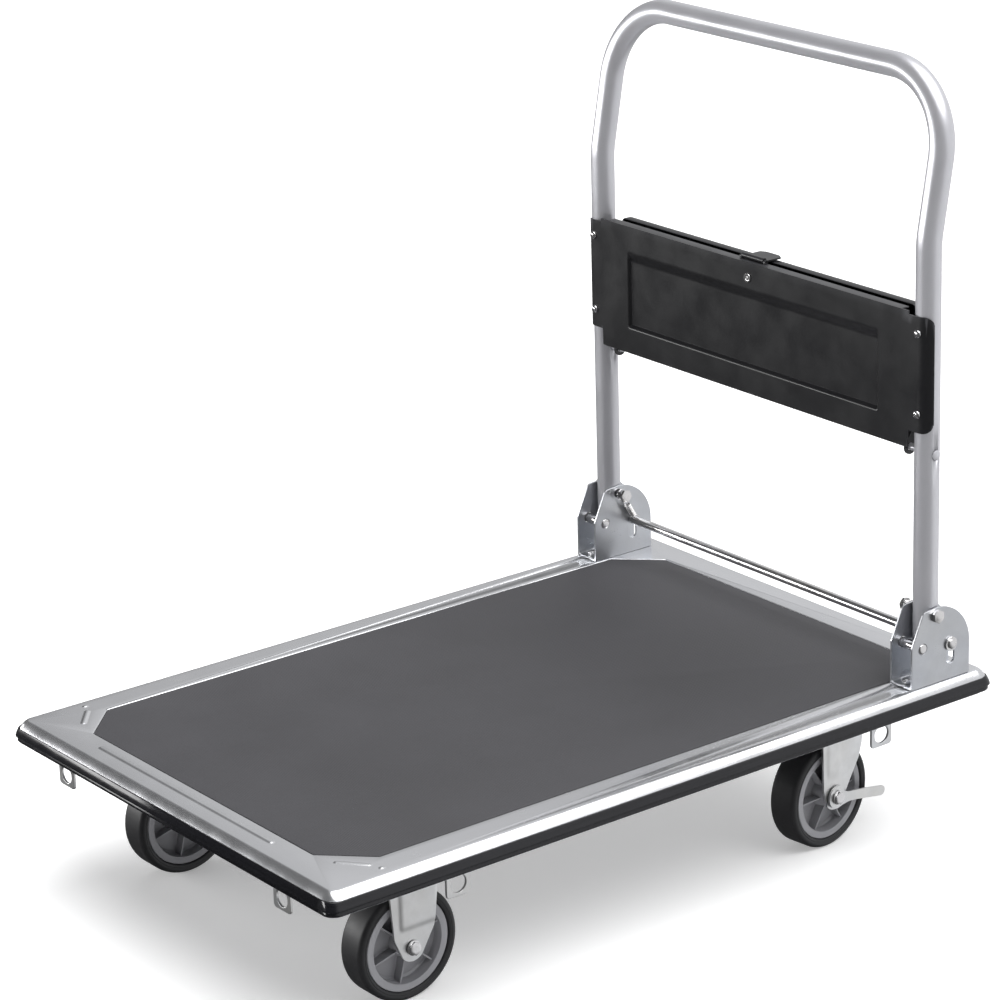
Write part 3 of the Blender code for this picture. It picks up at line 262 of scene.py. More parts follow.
def ribbed_mat(name):
    """Grey-black rubber sheet with a fine rib across it and a coarser one along it; the troughs between the ribs
    are painted darker as shade.
    """
    made = Recipe(name)
    split = made.add("ShaderNodeSeparateXYZ", {0: made.where})
    ribs = [made.math("SINE", made.math("MULTIPLY", split.outputs[axis], 2 * math.pi / pitch))
            for axis, pitch in (("X", MAT_RIB), ("Y", MAT_RIB * 1.5))]
    height = made.math("ADD", ribs[0], made.math("MULTIPLY", ribs[1], 0.6))
    dust = made.patches(0.0, 1.0, 5.0, 6.0, 0.6)
    crest = made.mix(dust, (0.044, 0.043, 0.048, 1), (0.062, 0.061, 0.068, 1))
    # painted shade: the lower the rib height, the more the colour goes towards a darker grey, so the troughs look
    # shaded
    tone = made.mix(made.span(height, 0.0, 0.6, 1.0, -1.6), crest, (0.030, 0.030, 0.033, 1))
    fine = made.bump(made.noise(1900.0, 2.0), 0.12, 0.0001)
    return made.finish(tone, made.span(dust, 0.58, 0.70, 0.0, 1.0),
                       made.bump(height, 0.30, 0.0002, fine))


def moulded(name, colour, roughness):
    """Injection-moulded grey plastic: satin, faint flow marks, and a painted highlight that lightens its outward
    edges.
    """
    made = Recipe(name)
    flow = made.span(made.noise(18.0, 4.0, stretch=(1, 3, 1)), 0.0, 1.0)
    tone = made.mix(flow, shade(colour, 0.93), shade(colour, 1.07))
    # painted highlight: outward edges lightened to half again the plastic's colour
    tone = made.mix(made.edge_highlight_mask(0.14), tone, shade(colour, 1.5))
    rough = made.patches(roughness - 0.05, roughness + 0.07, 70.0, 4.0)
    return made.finish(tone, rough, made.bump(made.noise(1500.0, 2.0), 0.12, 0.0001))


MAT_RIB = 0.0024     # pitch of the mat's fine ribs

LOOK = {
    "deck_paint": paint("deck_silver", (0.66, 0.665, 0.685), 0.22, 0.90, flake=0.02, peel=0.03),
    "handle_paint": paint("handle_silver", (0.55, 0.55, 0.58), 0.33, 0.55, flake=0.04, peel=0.06),
    # the black panel gets a painted highlight: its outward edges are lightened
    "panel_paint": paint("panel_black", (0.0085, 0.0085, 0.010), 0.33, 0.0, flake=0.10,
                         edge_highlight=(0.05, 0.05, 0.055)),
    "zinc_plate": zinc("zinc_pale", (0.80, 0.81, 0.825), 0.38),
    "zinc_blue": zinc("zinc_sheet", (0.60, 0.62, 0.66), 0.34, cloudy=0.05),
    "zinc_bright": zinc("zinc_bolt", (0.78, 0.78, 0.80), 0.20),
    "bumper_vinyl": vinyl("bumper_vinyl"),
    "mat_rubber": ribbed_mat("mat_rubber"),
    "wheel_plastic": moulded("wheel_grey", (0.23, 0.23, 0.245), 0.42),
    "tyre_rubber": rubber("tyre_black", (0.013, 0.013, 0.0148), 0.50),
}


# --- mesh helpers -------------------------------------------------------------------
def skin(shape, rings, closed=False):
    """Join a run of rings of equal length with faces; returns their loops of vertices."""
    loops = [[shape.verts.new(point) for point in ring] for ring in rings]
    for low, high in zip(loops, loops[1:] + loops[:1] if closed else loops[1:]):
        for i in range(len(low)):
            j = (i + 1) % len(low)
            shape.faces.new((low[i], low[j], high[j], high[i]))
    return loops


def loft(rings, closed=False):
    """A solid over a list of rings; its ends are capped unless it closes on itself."""
    shape = bmesh.new()
    loops = skin(shape, rings, closed)
    if not closed:
        shape.faces.new(loops[0])
        shape.faces.new(loops[-1])
    return shape


def on_axis(axis, across, up, along):
    """A point given in the plane across an axis, and along that axis."""
    if axis == "X":
        return Vector((along, across, up))
    if axis == "Y":
        return Vector((across, along, up))
    return Vector((across, up, along))


def arc(centre, radius, start, end, steps):
    turns = [start + (end - start) * k / steps for k in range(steps + 1)]
    return [(centre[0] + radius * math.cos(t), centre[1] + radius * math.sin(t)) for t in turns]


def circle(radius, centre=(0, 0), sides=48):
    return arc(centre, radius, 0, 2 * math.pi * (sides - 1) / sides, sides - 1)


def prism(outline, axis, low, high):
    return loft([[on_axis(axis, a, b, level) for a, b in outline] for level in (low, high)])


def box(low, high):
    outline = [(low[0], low[1]), (high[0], low[1]), (high[0], high[1]), (low[0], high[1])]
    return prism(outline, "Z", low[2], high[2])


def rod(axis, centre, radius, low, high, sides=32):
    return prism(circle(radius, centre, sides), axis, low, high)


def turned(profile, axis, centre, sides=48, closed=False):
    """Turn a profile of (radius, along) points about an axis."""
    rings = [[on_axis(axis, a, b, along) for a, b in circle(radius, centre, sides)]
             for radius, along in profile]
    return loft(rings, closed)


def merge(*shapes):
    """One bmesh of several separate shells."""
    first = shapes[0]
    for shape in shapes[1:]:
        mesh = bpy.data.meshes.new("part")
        shape.to_mesh(mesh)
        shape.free()
        first.from_mesh(mesh)
        bpy.data.meshes.remove(mesh)
    return first


def rounded(corners, radius, steps=5):
    """A polygon, listed anticlockwise, with its corners rounded off."""
    outline = []
    count = len(corners)
    for i in range(count):
        spot = Vector(corners[i])
        before = (Vector(corners[i - 1]) - spot).normalized()
        after = (Vector(corners[(i + 1) % count]) - spot).normalized()
        half = before.angle(after) / 2
        reach = radius / math.tan(half)
        middle = spot + (before + after).normalized() * radius / math.sin(half)
        start, end = spot + before * reach - middle, spot + after * reach - middle
        sweep = start.angle_signed(end)
        for k in range(steps + 1):
            turn = -sweep * k / steps
            outline.append((middle.x + start.x * math.cos(turn) - start.y * math.sin(turn),
                            middle.y + start.x * math.sin(turn) + start.y * math.cos(turn)))
    return outline


def rounded_rectangle(half_x, half_y, radius, steps=10):
    outline = []
    for quarter, (sx, sy) in enumerate(((1, 1), (-1, 1), (-1, -1), (1, -1))):
        centre = (sx * (half_x - radius), sy * (half_y - radius))
        outline += arc(centre, radius, quarter * math.pi / 2, (quarter + 1) * math.pi / 2, steps)
    return outline


def trough(first, last, foot, top, radius):
    """A U with rounded lower corners, from its top left to its top right."""
    outline = [(first, top), (first, foot + radius)]
    outline += arc((first + radius, foot + radius), radius, math.pi, 1.5 * math.pi, 5)[1:]
    outline += arc((last - radius, foot + radius), radius, 1.5 * math.pi, 2 * math.pi, 5)
    return outline + [(last, top)]


def swept_rings(path, radius, across, sides):
    """Rings of a round bar along a path of points, without twist."""
    steps = [(b - a).normalized() for a, b in zip(path, path[1:])]
    rings = []
    for point, before, after in zip(path, steps[:1] + steps, steps + steps[-1:]):
        along = (before + after).normalized()
        across = (across - along * across.dot(along)).normalized()
        other = along.cross(across)
        rings.append([point + across * a + other * b for a, b in circle(radius, (0, 0), sides)])
    return rings


def smooth_object(name, shape):
    mesh = bpy.data.meshes.new(name)
    shape.to_mesh(mesh)
    shape.free()
    mesh.shade_smooth()
    piece = bpy.data.objects.new(name, mesh)
    bpy.context.scene.collection.objects.link(piece)
    return piece


def to_object(name, shape, angle=40):
    """A solid as an object, with its edges sharp from an angle up."""
    bmesh.ops.recalc_face_normals(shape, faces=shape.faces)
    piece = smooth_object(name, shape)
    piece.data.set_sharp_from_angle(angle=math.radians(angle))
    return piece


def take_shape(piece):
    """The mesh of a working object, which is removed."""
    shape = bmesh.new()
    shape.from_mesh(piece.data)
    bpy.data.objects.remove(piece)
    return shape


def pressed_sheet(name, grid, outward, wall, even=False):
    """A sheet over a grid of points, thickened by its wall on the outward side."""
    shape = bmesh.new()
    rows = [[shape.verts.new(point) for point in row] for row in grid]
    for low, high in zip(rows, rows[1:]):
        for i in range(len(low) - 1):
            shape.faces.new((low[i], low[i + 1], high[i + 1], high[i]))
    bmesh.ops.recalc_face_normals(shape, faces=shape.faces)
    if sum(face.normal.dot(outward) for face in shape.faces) < 0:
        bmesh.ops.reverse_faces(shape, faces=shape.faces)
    sheet = smooth_object(name, shape)
    thick = sheet.modifiers.new("wall", "SOLIDIFY")
    thick.thickness = wall
    thick.offset = 1.0
    thick.use_even_offset = even
    apply_modifiers(sheet)
    return sheet


def apply_modifiers(piece):
    """Replace the mesh by its evaluated one."""
    bpy.context.view_layer.update()
    seen = piece.evaluated_get(bpy.context.evaluated_depsgraph_get())
    mesh = bpy.data.meshes.new_from_object(seen)
    piece.modifiers.clear()
    piece.data = mesh


def combine(piece, shape, operation):
    tool = to_object("tool", shape)
    step = piece.modifiers.new("combine", "BOOLEAN")
    step.operation = operation
    step.solver = "EXACT"
    step.object = tool
    apply_modifiers(piece)
    bpy.data.objects.remove(tool)


def cut(piece, *shapes):
    for shape in shapes:
        combine(piece, shape, "DIFFERENCE")


def join(piece, *shapes):
    for shape in shapes:
        combine(piece, shape, "UNION")


def soften(piece, width, segments=2, angle=50):
    """Round the sharp edges of a piece."""
    step = piece.modifiers.new("edges", "BEVEL")
    step.width = width
    step.segments = segments
    step.limit_method = "ANGLE"
    step.angle_limit = math.radians(angle)
    step.harden_normals = True
    step.miter_outer = "MITER_ARC"


def finish(piece, name, slot, look=None):
    """Give a piece its look, let it ride on its node's body and stand for the node."""
    piece.data.materials.clear()
    piece.data.materials.append(LOOK[look or slot])
    body = next(body for body, members in frame["record"]["behaviour"]["bodies"].items()
                if name in members)
    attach(piece, body)
    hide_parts(name)


def finish_bright(piece, name):
    finish(piece, name, "zinc_plate", "zinc_bright")


def middle_of(name):
    low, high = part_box(name)
    return (low + high) / 2


# --- deck ---------------------------------------------------------------------------
DECK_LOW, DECK_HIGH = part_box("deck_pan")
DECK_TOP = DECK_HIGH.z
SKIRT_FOOT = DECK_LOW.z
EDGE_ROLL = 0.0045       # how far the rolled edge stands out from the skirt
ROLL_DEPTH = 0.008
SHEET = 0.0015
SKIRT_CORNER = 0.0125
MAT_LOW, MAT_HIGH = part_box("deck_mat")
MAT_CHAMFER = 0.047
MAT_MARGIN = 0.0008
ROLL_STEPS = 14
BUMPER_CORNER = 0.0133


def deck_ring(offset, height, corner=None):
    """The skirt's outline moved out by an offset, at a height."""
    radius = SKIRT_CORNER + offset if corner is None else corner
    outline = rounded_rectangle(DECK_HIGH.x - EDGE_ROLL + offset, DECK_HIGH.y - EDGE_ROLL + offset,
                                radius, 12)
    return [Vector((x, y, height)) for x, y in outline]


def mat_ring(grow, height, radius=0.003):
    """The mat's cut-cornered outline moved out by `grow`, at a height."""
    a, b = MAT_HIGH.x + grow, MAT_HIGH.y + grow
    c = MAT_CHAMFER + grow * (2 - math.sqrt(2))
    corners = [(a, b - c), (a - c, b), (c - a, b), (-a, b - c), (-a, c - b), (c - a, -b),
               (a - c, -b), (a, c - b)]
    return [Vector((x, y, height)) for x, y in rounded(corners, radius, 4)]


def zip_loops(shape, first, second):
    """Close the flat gap between two loops round the origin with triangles."""
    def turn(vertex):
        return math.atan2(vertex.co.y, vertex.co.x) % (2 * math.pi)

    loops = [sorted(loop, key=turn) for loop in (first, second)]
    turns = [[turn(vertex) for vertex in loop] for loop in loops]
    turns = [row + [row[0] + 2 * math.pi] for row in turns]
    at = [0, 0]
    while at[0] < len(loops[0]) or at[1] < len(loops[1]):
        ahead = [turns[k][at[k] + 1] if at[k] < len(loops[k]) else math.inf for k in (0, 1)]
        k = 0 if ahead[0] <= ahead[1] else 1
        here = [loops[n][at[n] % len(loops[n])] for n in (0, 1)]
        shape.faces.new((here[0], here[1], loops[k][(at[k] + 1) % len(loops[k])]))
        at[k] += 1


def bead(points, half, height):
    """A pressed rib: a low dome along the line from one point to the other."""
    first, last = Vector(points[0]), Vector(points[1])
    along = last - first
    heading = math.atan2(along.y, along.x)
    rings = []
    for inset, lift in ((-0.05, -0.3), (0.0, 0.0), (0.18, 0.10), (0.36, 0.38), (0.54, 0.70),
                        (0.72, 0.92), (0.88, 0.99)):
        radius = half * (1 - inset)
        outline = arc(last, radius, heading - math.pi / 2, heading + math.pi / 2, 10)
        outline += arc(first, radius, heading + math.pi / 2, heading + 3 * math.pi / 2, 10)
        rings.append([Vector((x, y, DECK_TOP + lift * height)) for x, y in outline])
    return loft(rings)


def build_deck():
    """One pressed sheet: flat with a recess for the mat, rolled edge and skirt, and ribs."""
    foot, floor = DECK_TOP - ROLL_DEPTH, MAT_LOW.z - 0.0003
    profile = [(EDGE_ROLL - 0.0102 + 0.0100 * k / ROLL_STEPS,
                DECK_TOP - ROLL_DEPTH * (k / ROLL_STEPS) ** 1.75) for k in range(ROLL_STEPS + 1)]
    profile += [(EDGE_ROLL, foot), (EDGE_ROLL - 0.0006, foot - 0.0001), (0.0004, foot - 0.0001),
                (0, foot - 0.0006), (0, SKIRT_FOOT + 0.0004), (-0.0004, SKIRT_FOOT),
                (-SHEET + 0.0004, SKIRT_FOOT), (-SHEET, SKIRT_FOOT + 0.0004), (-SHEET, foot),
                (-0.004, DECK_TOP - SHEET - 0.001), (-0.008, DECK_TOP - SHEET)]
    recess = [(0.0016, DECK_TOP), (0.0008, DECK_TOP - 0.0002), (0.0002, DECK_TOP - 0.0007),
              (0, DECK_TOP - 0.0014), (0, floor)]
    under = [(0.004, DECK_TOP - SHEET), (0.0025, floor - SHEET + 0.0005), (0.0015, floor - SHEET)]
    shape = bmesh.new()
    outside = skin(shape, [deck_ring(*point) for point in profile])
    for run, edge in ((recess, outside[0]), (under, outside[-1])):
        loops = skin(shape, [mat_ring(MAT_MARGIN + grow, height) for grow, height in run])
        shape.faces.new(loops[-1])
        zip_loops(shape, edge, loops[0])
    deck = to_object("deck", shape, 30)
    ribs = [bead(((0.422, -0.167), (0.422, 0.156)), 0.0042, 0.0011)]
    for side, _ in SIDES:
        ribs.append(bead(((0.400, side * 0.240), (0.379, side * 0.266)), 0.0040, 0.0010))
        ribs.append(bead(((0.3726, side * 0.2800), (0.3736, side * 0.2800)), 0.0036, 0.0010))
    join(deck, merge(*ribs))
    for _, side_name in SIDES:
        spot = middle_of("base_bolt_" + side_name)
        cut(deck, rod("Z", spot.xy, BASE_HOLE, DECK_TOP - 0.01, DECK_TOP + 0.01, 24))
    finish(deck, "deck_pan", "deck_paint")


def build_mat():
    section = [(-0.002, MAT_LOW.z), (0, MAT_LOW.z), (0, DECK_TOP - 0.0006),
               (-0.0002, DECK_TOP - 0.0002), (-0.0007, DECK_TOP)]
    finish(to_object("mat", loft([mat_ring(*point) for point in section]), 50), "deck_mat",
           "mat_rubber")


def build_bumper():
    """An extruded strip: a broad sloping face over a groove and a round foot."""
    box_low, box_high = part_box("bumper_strip")
    low, high = box_low.z, box_high.z
    depth = box_high.x - DECK_HIGH.x + EDGE_ROLL
    groove = low + 0.0052
    section = [(0.0003, low), (0.45 * depth, low)]
    section += arc((0.50 * depth, low + 0.0024), 0.0024, math.radians(-90), math.radians(20), 6)
    section += [(0.72 * depth, groove - 0.0004), (0.70 * depth, groove),
                (0.74 * depth, groove + 0.0004), (depth - 0.0009, groove + 0.0006),
                (depth - 0.0002, groove + 0.0014), (depth, groove + 0.0024)]
    outer, inner = Vector((depth - 0.0002, groove + 0.0032)), Vector((EDGE_ROLL + 0.0006, high - 0.0012))
    for k in range(7):
        place = outer.lerp(inner, k / 6)
        section.append((place.x + 0.0002 * math.sin(math.pi * k / 6), place.y))
    section += [(EDGE_ROLL + 0.0003, high - 0.0005), (EDGE_ROLL - 0.0004, high), (0.0003, high)]
    rings = [deck_ring(*point, BUMPER_CORNER) for point in section]
    strip = to_object("bumper", loft(rings, closed=True), 30)
    butt = DECK_HIGH.y - EDGE_ROLL - 0.016
    cut(strip, box((DECK_HIGH.x - EDGE_ROLL + 0.001, butt, low - 0.01),
                   (DECK_HIGH.x + 0.02, butt + 0.0006, high + 0.01)))
    finish(strip, "bumper_strip", "bumper_vinyl")


def build_rails():
    """Folded channels under the deck, open at the top."""
    wall, radius = 0.0025, 0.005
    for name, axis in (("cross_rail_front", "Y"), ("cross_rail_rear", "Y"), ("spine_rail", "X")):
        low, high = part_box(name)
        across, ends = ((low.x, high.x), (low.y, high.y))[::1 if axis == "Y" else -1]
        outline = trough(*across, low.z, high.z, radius)
        outline += reversed(trough(across[0] + wall, across[1] - wall, low.z + wall, high.z,
                                   radius - wall))
        rail = to_object("rail_" + name, prism(outline, axis, *ends))
        soften(rail, 0.0004, angle=35)
        finish(rail, name, "deck_paint")


def build_lugs():
    ring = 0.010
    for name in sorted(n for n in frame["nodes"] if n.startswith("lashing_lug")):
        low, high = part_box(name)
        spans = ((low.x, high.x), (low.y, high.y))
        axis = "X" if high.x - low.x < high.y - low.y else "Y"
        across, (first, last) = spans[::1 if axis == "X" else -1]
        flat = [(last, high.z), (first, high.z), (first, low.z), (last, low.z)]
        lug = to_object("plate_" + name, prism(rounded(flat, 0.0042), axis, *across))
        centre = ((first + last) / 2, low.z + 0.004 + ring)
        cut(lug, rod(axis, centre, ring, across[0] - 0.01, across[1] + 0.01, 40))
        soften(lug, 0.0006, angle=35)
        finish(lug, name, "zinc_plate")


# --- bolts ----------------------------------------------------------------------------
PIVOT_HOLE = 0.0053
BASE_HOLE = 0.0043
HINGE_HOLE = 0.0043


def hex_part(axis, centre, across, low, high, turn=0.2):
    """A hexagonal head or nut: its corners are turned down at both faces."""
    radius = across / math.sqrt(3)
    outline = arc(centre, radius, turn, turn + math.pi * 5 / 3, 5)
    body = to_object("hex", prism(outline, axis, low, high))
    dome = (high - low) * 0.16
    full, flat = radius * 1.02, across / 2 * 0.96
    combine(body, turned([(flat, low - 0.0001), (full, low + dome), (full, high - dome),
                          (flat, high + 0.0001)], axis, centre, 36), "INTERSECT")
    return take_shape(body)


def stacked(name, parts):
    """Union a bolt's shank, head and nut."""
    piece = to_object(name, parts[0])
    join(piece, *parts[1:])
    return piece


def hex_bolt(name, axis, centre, shank, across, head, grip, nut, tip=0.0, extra=()):
    """Head below grip[0] and nut above grip[1]; a negative `nut` turns the bolt round."""
    way = 1 if nut > 0 else -1
    low, high = grip[::way]
    end = high + nut + way * tip
    profile = [(shank * 0.5, low - way * 0.0002), (shank * 0.5, end - way * 0.0006),
               (shank * 0.38, end)]
    parts = [turned(profile, axis, centre, 28),
             hex_part(axis, centre, across, *sorted((low, low - way * head))),
             hex_part(axis, centre, across, *sorted((high, high + nut)), turn=0.5), *extra]
    return stacked("bolt_" + name, parts)


def cross_grip(name, side):
    """What a bolt along Y clamps: its head is on the inner side and its nut outside."""
    low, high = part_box(name)
    inner, outer = (low.y, high.y)[::side]
    return sorted((inner + side * 0.0035, outer - side * 0.0050))


# --- castors --------------------------------------------------------------------------
FORK_WALL = 0.0025
FORK_HALF = 0.026        # axle's middle to a cheek's outer face
FORK_FOOT = 0.0155       # radius of a cheek's foot
PRESSING = 0.0012        # how far a cheek's middle stands out
PLATE = 0.003
PLATE_CORNER = 0.008
KINGPIN_HOLE = 0.0063
AXLE_HOLE = 0.0054
AXLE_GRIP = 0.0263
TRAIL = 0.030

FIXED_EDGES = ((-0.0285, 0.018), (-0.033, 0.062)), ((0.0225, 0.014), (0.026, 0.062))
SWIVEL_EDGES = (((-0.022, 0.008), (-0.040, 0.036), (-0.045, 0.052), (-0.0465, 0.064)),
                ((0.0185, 0.012), (0.0195, 0.064)))


def castor_axle(side_name, end_name):
    """Axle centre of a castor, and the direction of its axle."""
    joint = JOINTS[f"wheel_spin_{end_name}_{side_name}"]
    return Vector(joint["pos_m"]), Vector(joint["axis"]).normalized()


def turn_to(piece, axle, direction):
    """Move a piece drawn round the origin, its axle along Y, to its castor."""
    yaw = math.atan2(-direction.x, direction.y)
    piece.matrix_world = Matrix.Translation(axle) @ Matrix.Rotation(yaw, 4, "Z")


def build_tyre(wheel, axle, direction):
    radius, half, seat, shoulder = axle.z, 0.018, 0.0517, 0.0055
    side = [(seat + 0.0002, 0.0162), (seat + 0.0012, 0.0176), (radius - 0.0075, half),
            (radius - 0.0068, half - 0.0003), (radius - 0.0062, half)]
    side += [(radius - shoulder + shoulder * math.sin(t), half - shoulder * (1 - math.cos(t)))
             for t in [math.pi / 2 * k / 7 for k in range(8)]]
    profile = [(r, -a) for r, a in side] + side[::-1]
    tyre = to_object("tread_" + wheel, turned(profile, "Y", (0, 0), 96, closed=True), 30)
    turn_to(tyre, axle, direction)
    finish(tyre, "tyre_" + wheel, "tyre_rubber")


def hub_rib(lip, turn, face):
    """One rib of a wheel centre, from the boss to the rim."""
    rib = loft([[Vector((x, a, h)) for a, h in ((0.001, -0.0011), (out, -0.0009), (out, 0.0009),
                                                (0.001, 0.0011))]
                for x, out in ((0.0135, 0.0150), (lip + 0.0009, 0.0125))])
    place = Matrix.Rotation(turn, 4, "Y") @ Matrix.Scale(face, 4, (0, 1, 0))
    bmesh.ops.transform(rib, matrix=place, verts=rib.verts)
    return rib


def build_hub(wheel, axle, direction, turn):
    """Spoked wheel centre: rim, thin web, boss, and six ribs on each face."""
    seat, rim, lip, boss = 0.0514, 0.0162, 0.0435, 0.0232
    half = [(PIVOT_HOLE, boss), (0.0085, boss), (0.0125, boss - 0.0012), (0.0148, 0.010),
            (0.0155, 0.0032), (0.019, 0.0024), (0.040, 0.0024), (0.0424, 0.0042),
            (lip - 0.0004, rim - 0.0008), (lip, rim), (seat - 0.0005, rim), (seat, rim - 0.0005)]
    profile = [(r, -a) for r, a in half] + half[::-1]
    hub = to_object("hub_" + wheel, turned(profile, "Y", (0, 0), 72, closed=True), 30)
    for face in (1, -1):
        ribs = merge(*(hub_rib(lip, turn + k * math.pi / 3, face) for k in range(6)))
        bmesh.ops.recalc_face_normals(ribs, faces=ribs.faces)
        join(hub, ribs)
    soften(hub, 0.0004, 1)
    turn_to(hub, axle, direction)
    finish(hub, "wheel_hub_" + wheel, "wheel_plastic")


def edge_at(edge, way, height):
    """X of a cheek's edge at a height: its round foot, then the points of the edge."""
    foot = math.radians(35)
    joint = (way * FORK_FOOT * math.cos(foot), -FORK_FOOT * math.sin(foot))
    if height <= joint[1]:
        return way * math.sqrt(FORK_FOOT ** 2 - height ** 2)
    points = (joint, *edge)
    for (x0, z0), (x1, z1) in zip(points, points[1:]):
        if height <= z1:
            return x0 + (x1 - x0) * (height - z0) / (z1 - z0)
    return points[-1][0]


def smooth_step(value, low, high):
    share = min(max((value - low) / (high - low), 0.0), 1.0)
    return share * share * (3 - 2 * share)


def fixed_relief(x, height):
    """A pocket pressed outwards from the crown, with a rounded lower end."""
    side = smooth_step(x, -0.036, -0.030) * smooth_step(-x, -0.0165, -0.0110)
    return side * smooth_step(height, 0.020, 0.027)


def swivel_relief(x, height):
    """An upright flute down the front half, dying out above the axle."""
    flute = smooth_step(x, -0.012, -0.004) * smooth_step(-x, -0.0150, -0.0085)
    return flute * smooth_step(height, 0.020, 0.034)


def build_cheeks(edges, top, relief):
    """Both cheeks of a fork; `relief` is the share of the pressing at a place."""
    rows, columns, foot = 46, 30, FORK_FOOT * 0.999
    shapes = []
    for side in (1, -1):
        grid = []
        for j in range(rows + 1):
            height = -foot + (top + foot) * (j / rows) ** 1.25
            low, high = (edge_at(edge, way, height) for edge, way in zip(edges, (-1, 1)))
            places = [low + (high - low) * i / columns for i in range(columns + 1)]
            grid.append([(x, side * (FORK_HALF - FORK_WALL - PRESSING * (1 - relief(x, height))),
                          height) for x in places])
        shapes.append(take_shape(pressed_sheet("cheek", grid, Vector((0, side, 0)), FORK_WALL, True)))
    return shapes


def plate_outline(low, high, x=0.0, y=0.0):
    """The round-cornered mounting plate of a castor, about a centre."""
    outline = rounded_rectangle((high.x - low.x) / 2, (high.y - low.y) / 2, PLATE_CORNER, 6)
    return [(x + a, y + b) for a, b in outline]


def build_fixed_fork(side_name, axle, direction):
    name = "fixed_fork_" + side_name
    low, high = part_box(name)
    top = high.z - PLATE - axle.z
    fork = to_object("fork_" + name, prism(plate_outline(low, high), "Z", top, top + PLATE))
    join(fork, *build_cheeks(FIXED_EDGES, top + 0.0015, fixed_relief))
    cut(fork, rod("Y", (0, 0), AXLE_HOLE, -0.04, 0.04))
    soften(fork, 0.0005)
    turn_to(fork, axle, direction)
    finish(fork, name, "zinc_plate")


def build_axle(name, side, brake, axle, direction):
    """Bolt with a hexagonal head, and a nut over the brake's eye, on washers."""
    grip = sorted((-side * AXLE_GRIP, side * (AXLE_GRIP + brake)))
    washers = [turned([(0.0082, level), (0.0082, level + way * 0.0008),
                       (0.0078, level + way * 0.0011)], "Y", (0, 0), 40)
               for level, way in zip(grip, (-1, 1))]
    bolt = hex_bolt(name, "Y", (0, 0), 0.0088, 0.0130, 0.0040, grip, 0.0045 * side, extra=washers)
    turn_to(bolt, axle, direction)
    finish_bright(bolt, name)


def build_swivel_plate(side_name):
    name = "swivel_plate_" + side_name
    low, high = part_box(name)
    centre = middle_of(name).xy
    plate = to_object("mount_" + name, prism(plate_outline(low, high, *centre), "Z",
                                             high.z - PLATE, high.z))
    race = [(0.0355, high.z - 0.0022), (0.0350, high.z - 0.0050), (0.035, low.z + 0.0012),
            (0.0344, low.z + 0.0003), (0.033, low.z)]
    join(plate, turned(race, "Z", centre, 64))
    cut(plate, rod("Z", centre, KINGPIN_HOLE, low.z - 0.01, high.z + 0.01))
    soften(plate, 0.0005)
    finish(plate, name, "zinc_plate")


def build_kingpin(side_name):
    name = "kingpin_" + side_name
    low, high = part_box(name)
    centre = middle_of(name).xy
    pin = to_object("pin_" + name, rod("Z", centre, 0.006, low.z + 0.0005, high.z, 40))
    join(pin, hex_part("Z", centre, 0.0175, low.z, low.z + (high.z - low.z) * 0.148))
    finish_bright(pin, name)


def build_swivel_fork(side_name, axle, direction):
    """Crown with the lower race, and two cheeks that trail to the axle."""
    name = "swivel_fork_" + side_name
    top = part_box(name)[1].z - axle.z
    foot = top - 0.0050
    crown = [(0.0352, top), (0.0372, top - 0.0007), (0.0380, top - 0.0022), (0.0380, foot + 0.0012),
             (0.0372, foot + 0.0002), (0.0355, foot)]
    fork = to_object("fork_" + name, turned(crown, "Z", (-TRAIL, 0), 64))
    join(fork, *build_cheeks(SWIVEL_EDGES, foot + 0.0015, swivel_relief))
    cut(fork, rod("Z", (-TRAIL, 0), KINGPIN_HOLE, foot - 0.01, top + 0.01, 40),
        rod("Y", (0, 0), AXLE_HOLE, -0.04, 0.04))
    soften(fork, 0.0005)
    turn_to(fork, axle, direction)
    finish(fork, name, "zinc_plate")


def build_brake(side, side_name, axle, direction):
    """A pressed lever on the axle's outer end: eye, neck and a round-ended pedal."""
    name = "brake_lever_" + side_name
    wall, reach, half, slope = 0.0025, 0.082, 0.0058, math.radians(-12)
    outline = arc((0, 0), 0.0132, math.radians(-118), math.radians(118), 28)
    outline += [(-0.0105, 0.0066), (-0.016, 0.0052), (-0.022, 0.0052), (-0.034, half)]
    outline += arc((half - reach, 0), half, math.pi / 2, 1.5 * math.pi, 12)
    outline += [(-0.034, -half), (-0.022, -0.0064), (-0.016, -0.0080), (-0.0105, -0.0098)]
    outside = AXLE_GRIP + wall
    near, far = sorted((side * AXLE_GRIP, side * outside))
    lever = to_object("lever_" + name, prism(outline, "Y", near, far))
    inner, outer = sorted((side * (outside - 0.030), side * (outside - wall / 2)))
    join(lever, box((half - reach, inner, 0.0009 - half), (-0.0665, outer, 0.0034 - half)))
    cut(lever, rod("Y", (0, 0), PIVOT_HOLE, near - 0.01, far + 0.01))
    soften(lever, 0.0007)
    lever.data.transform(Matrix.Rotation(slope, 4, "Y"))
    turn_to(lever, axle, direction)
    finish(lever, name, "zinc_plate")


def build_castors():
    kinds = (("front", "fixed", 0.32, 0.0), ("rear", "swivel", 0.05, 0.0031))
    for side, side_name in SIDES:
        for end_name, kind, turn, brake in kinds:
            place = castor_axle(side_name, end_name)
            wheel = f"{end_name}_{side_name}"
            build_tyre(wheel, *place)
            build_hub(wheel, *place, turn)
            build_axle(f"{kind}_axle_{side_name}", side, brake, *place)
        build_fixed_fork(side_name, *castor_axle(side_name, "front"))
        build_swivel_fork(side_name, *castor_axle(side_name, "rear"))
        build_brake(side, side_name, *castor_axle(side_name, "rear"))
        build_swivel_plate(side_name)
        build_kingpin(side_name)


# --- handle brackets ------------------------------------------------------------------
ROD_MIDDLE = middle_of("release_rod")
ROD_RADIUS = 0.0055
STOP_RADIUS = 0.0059


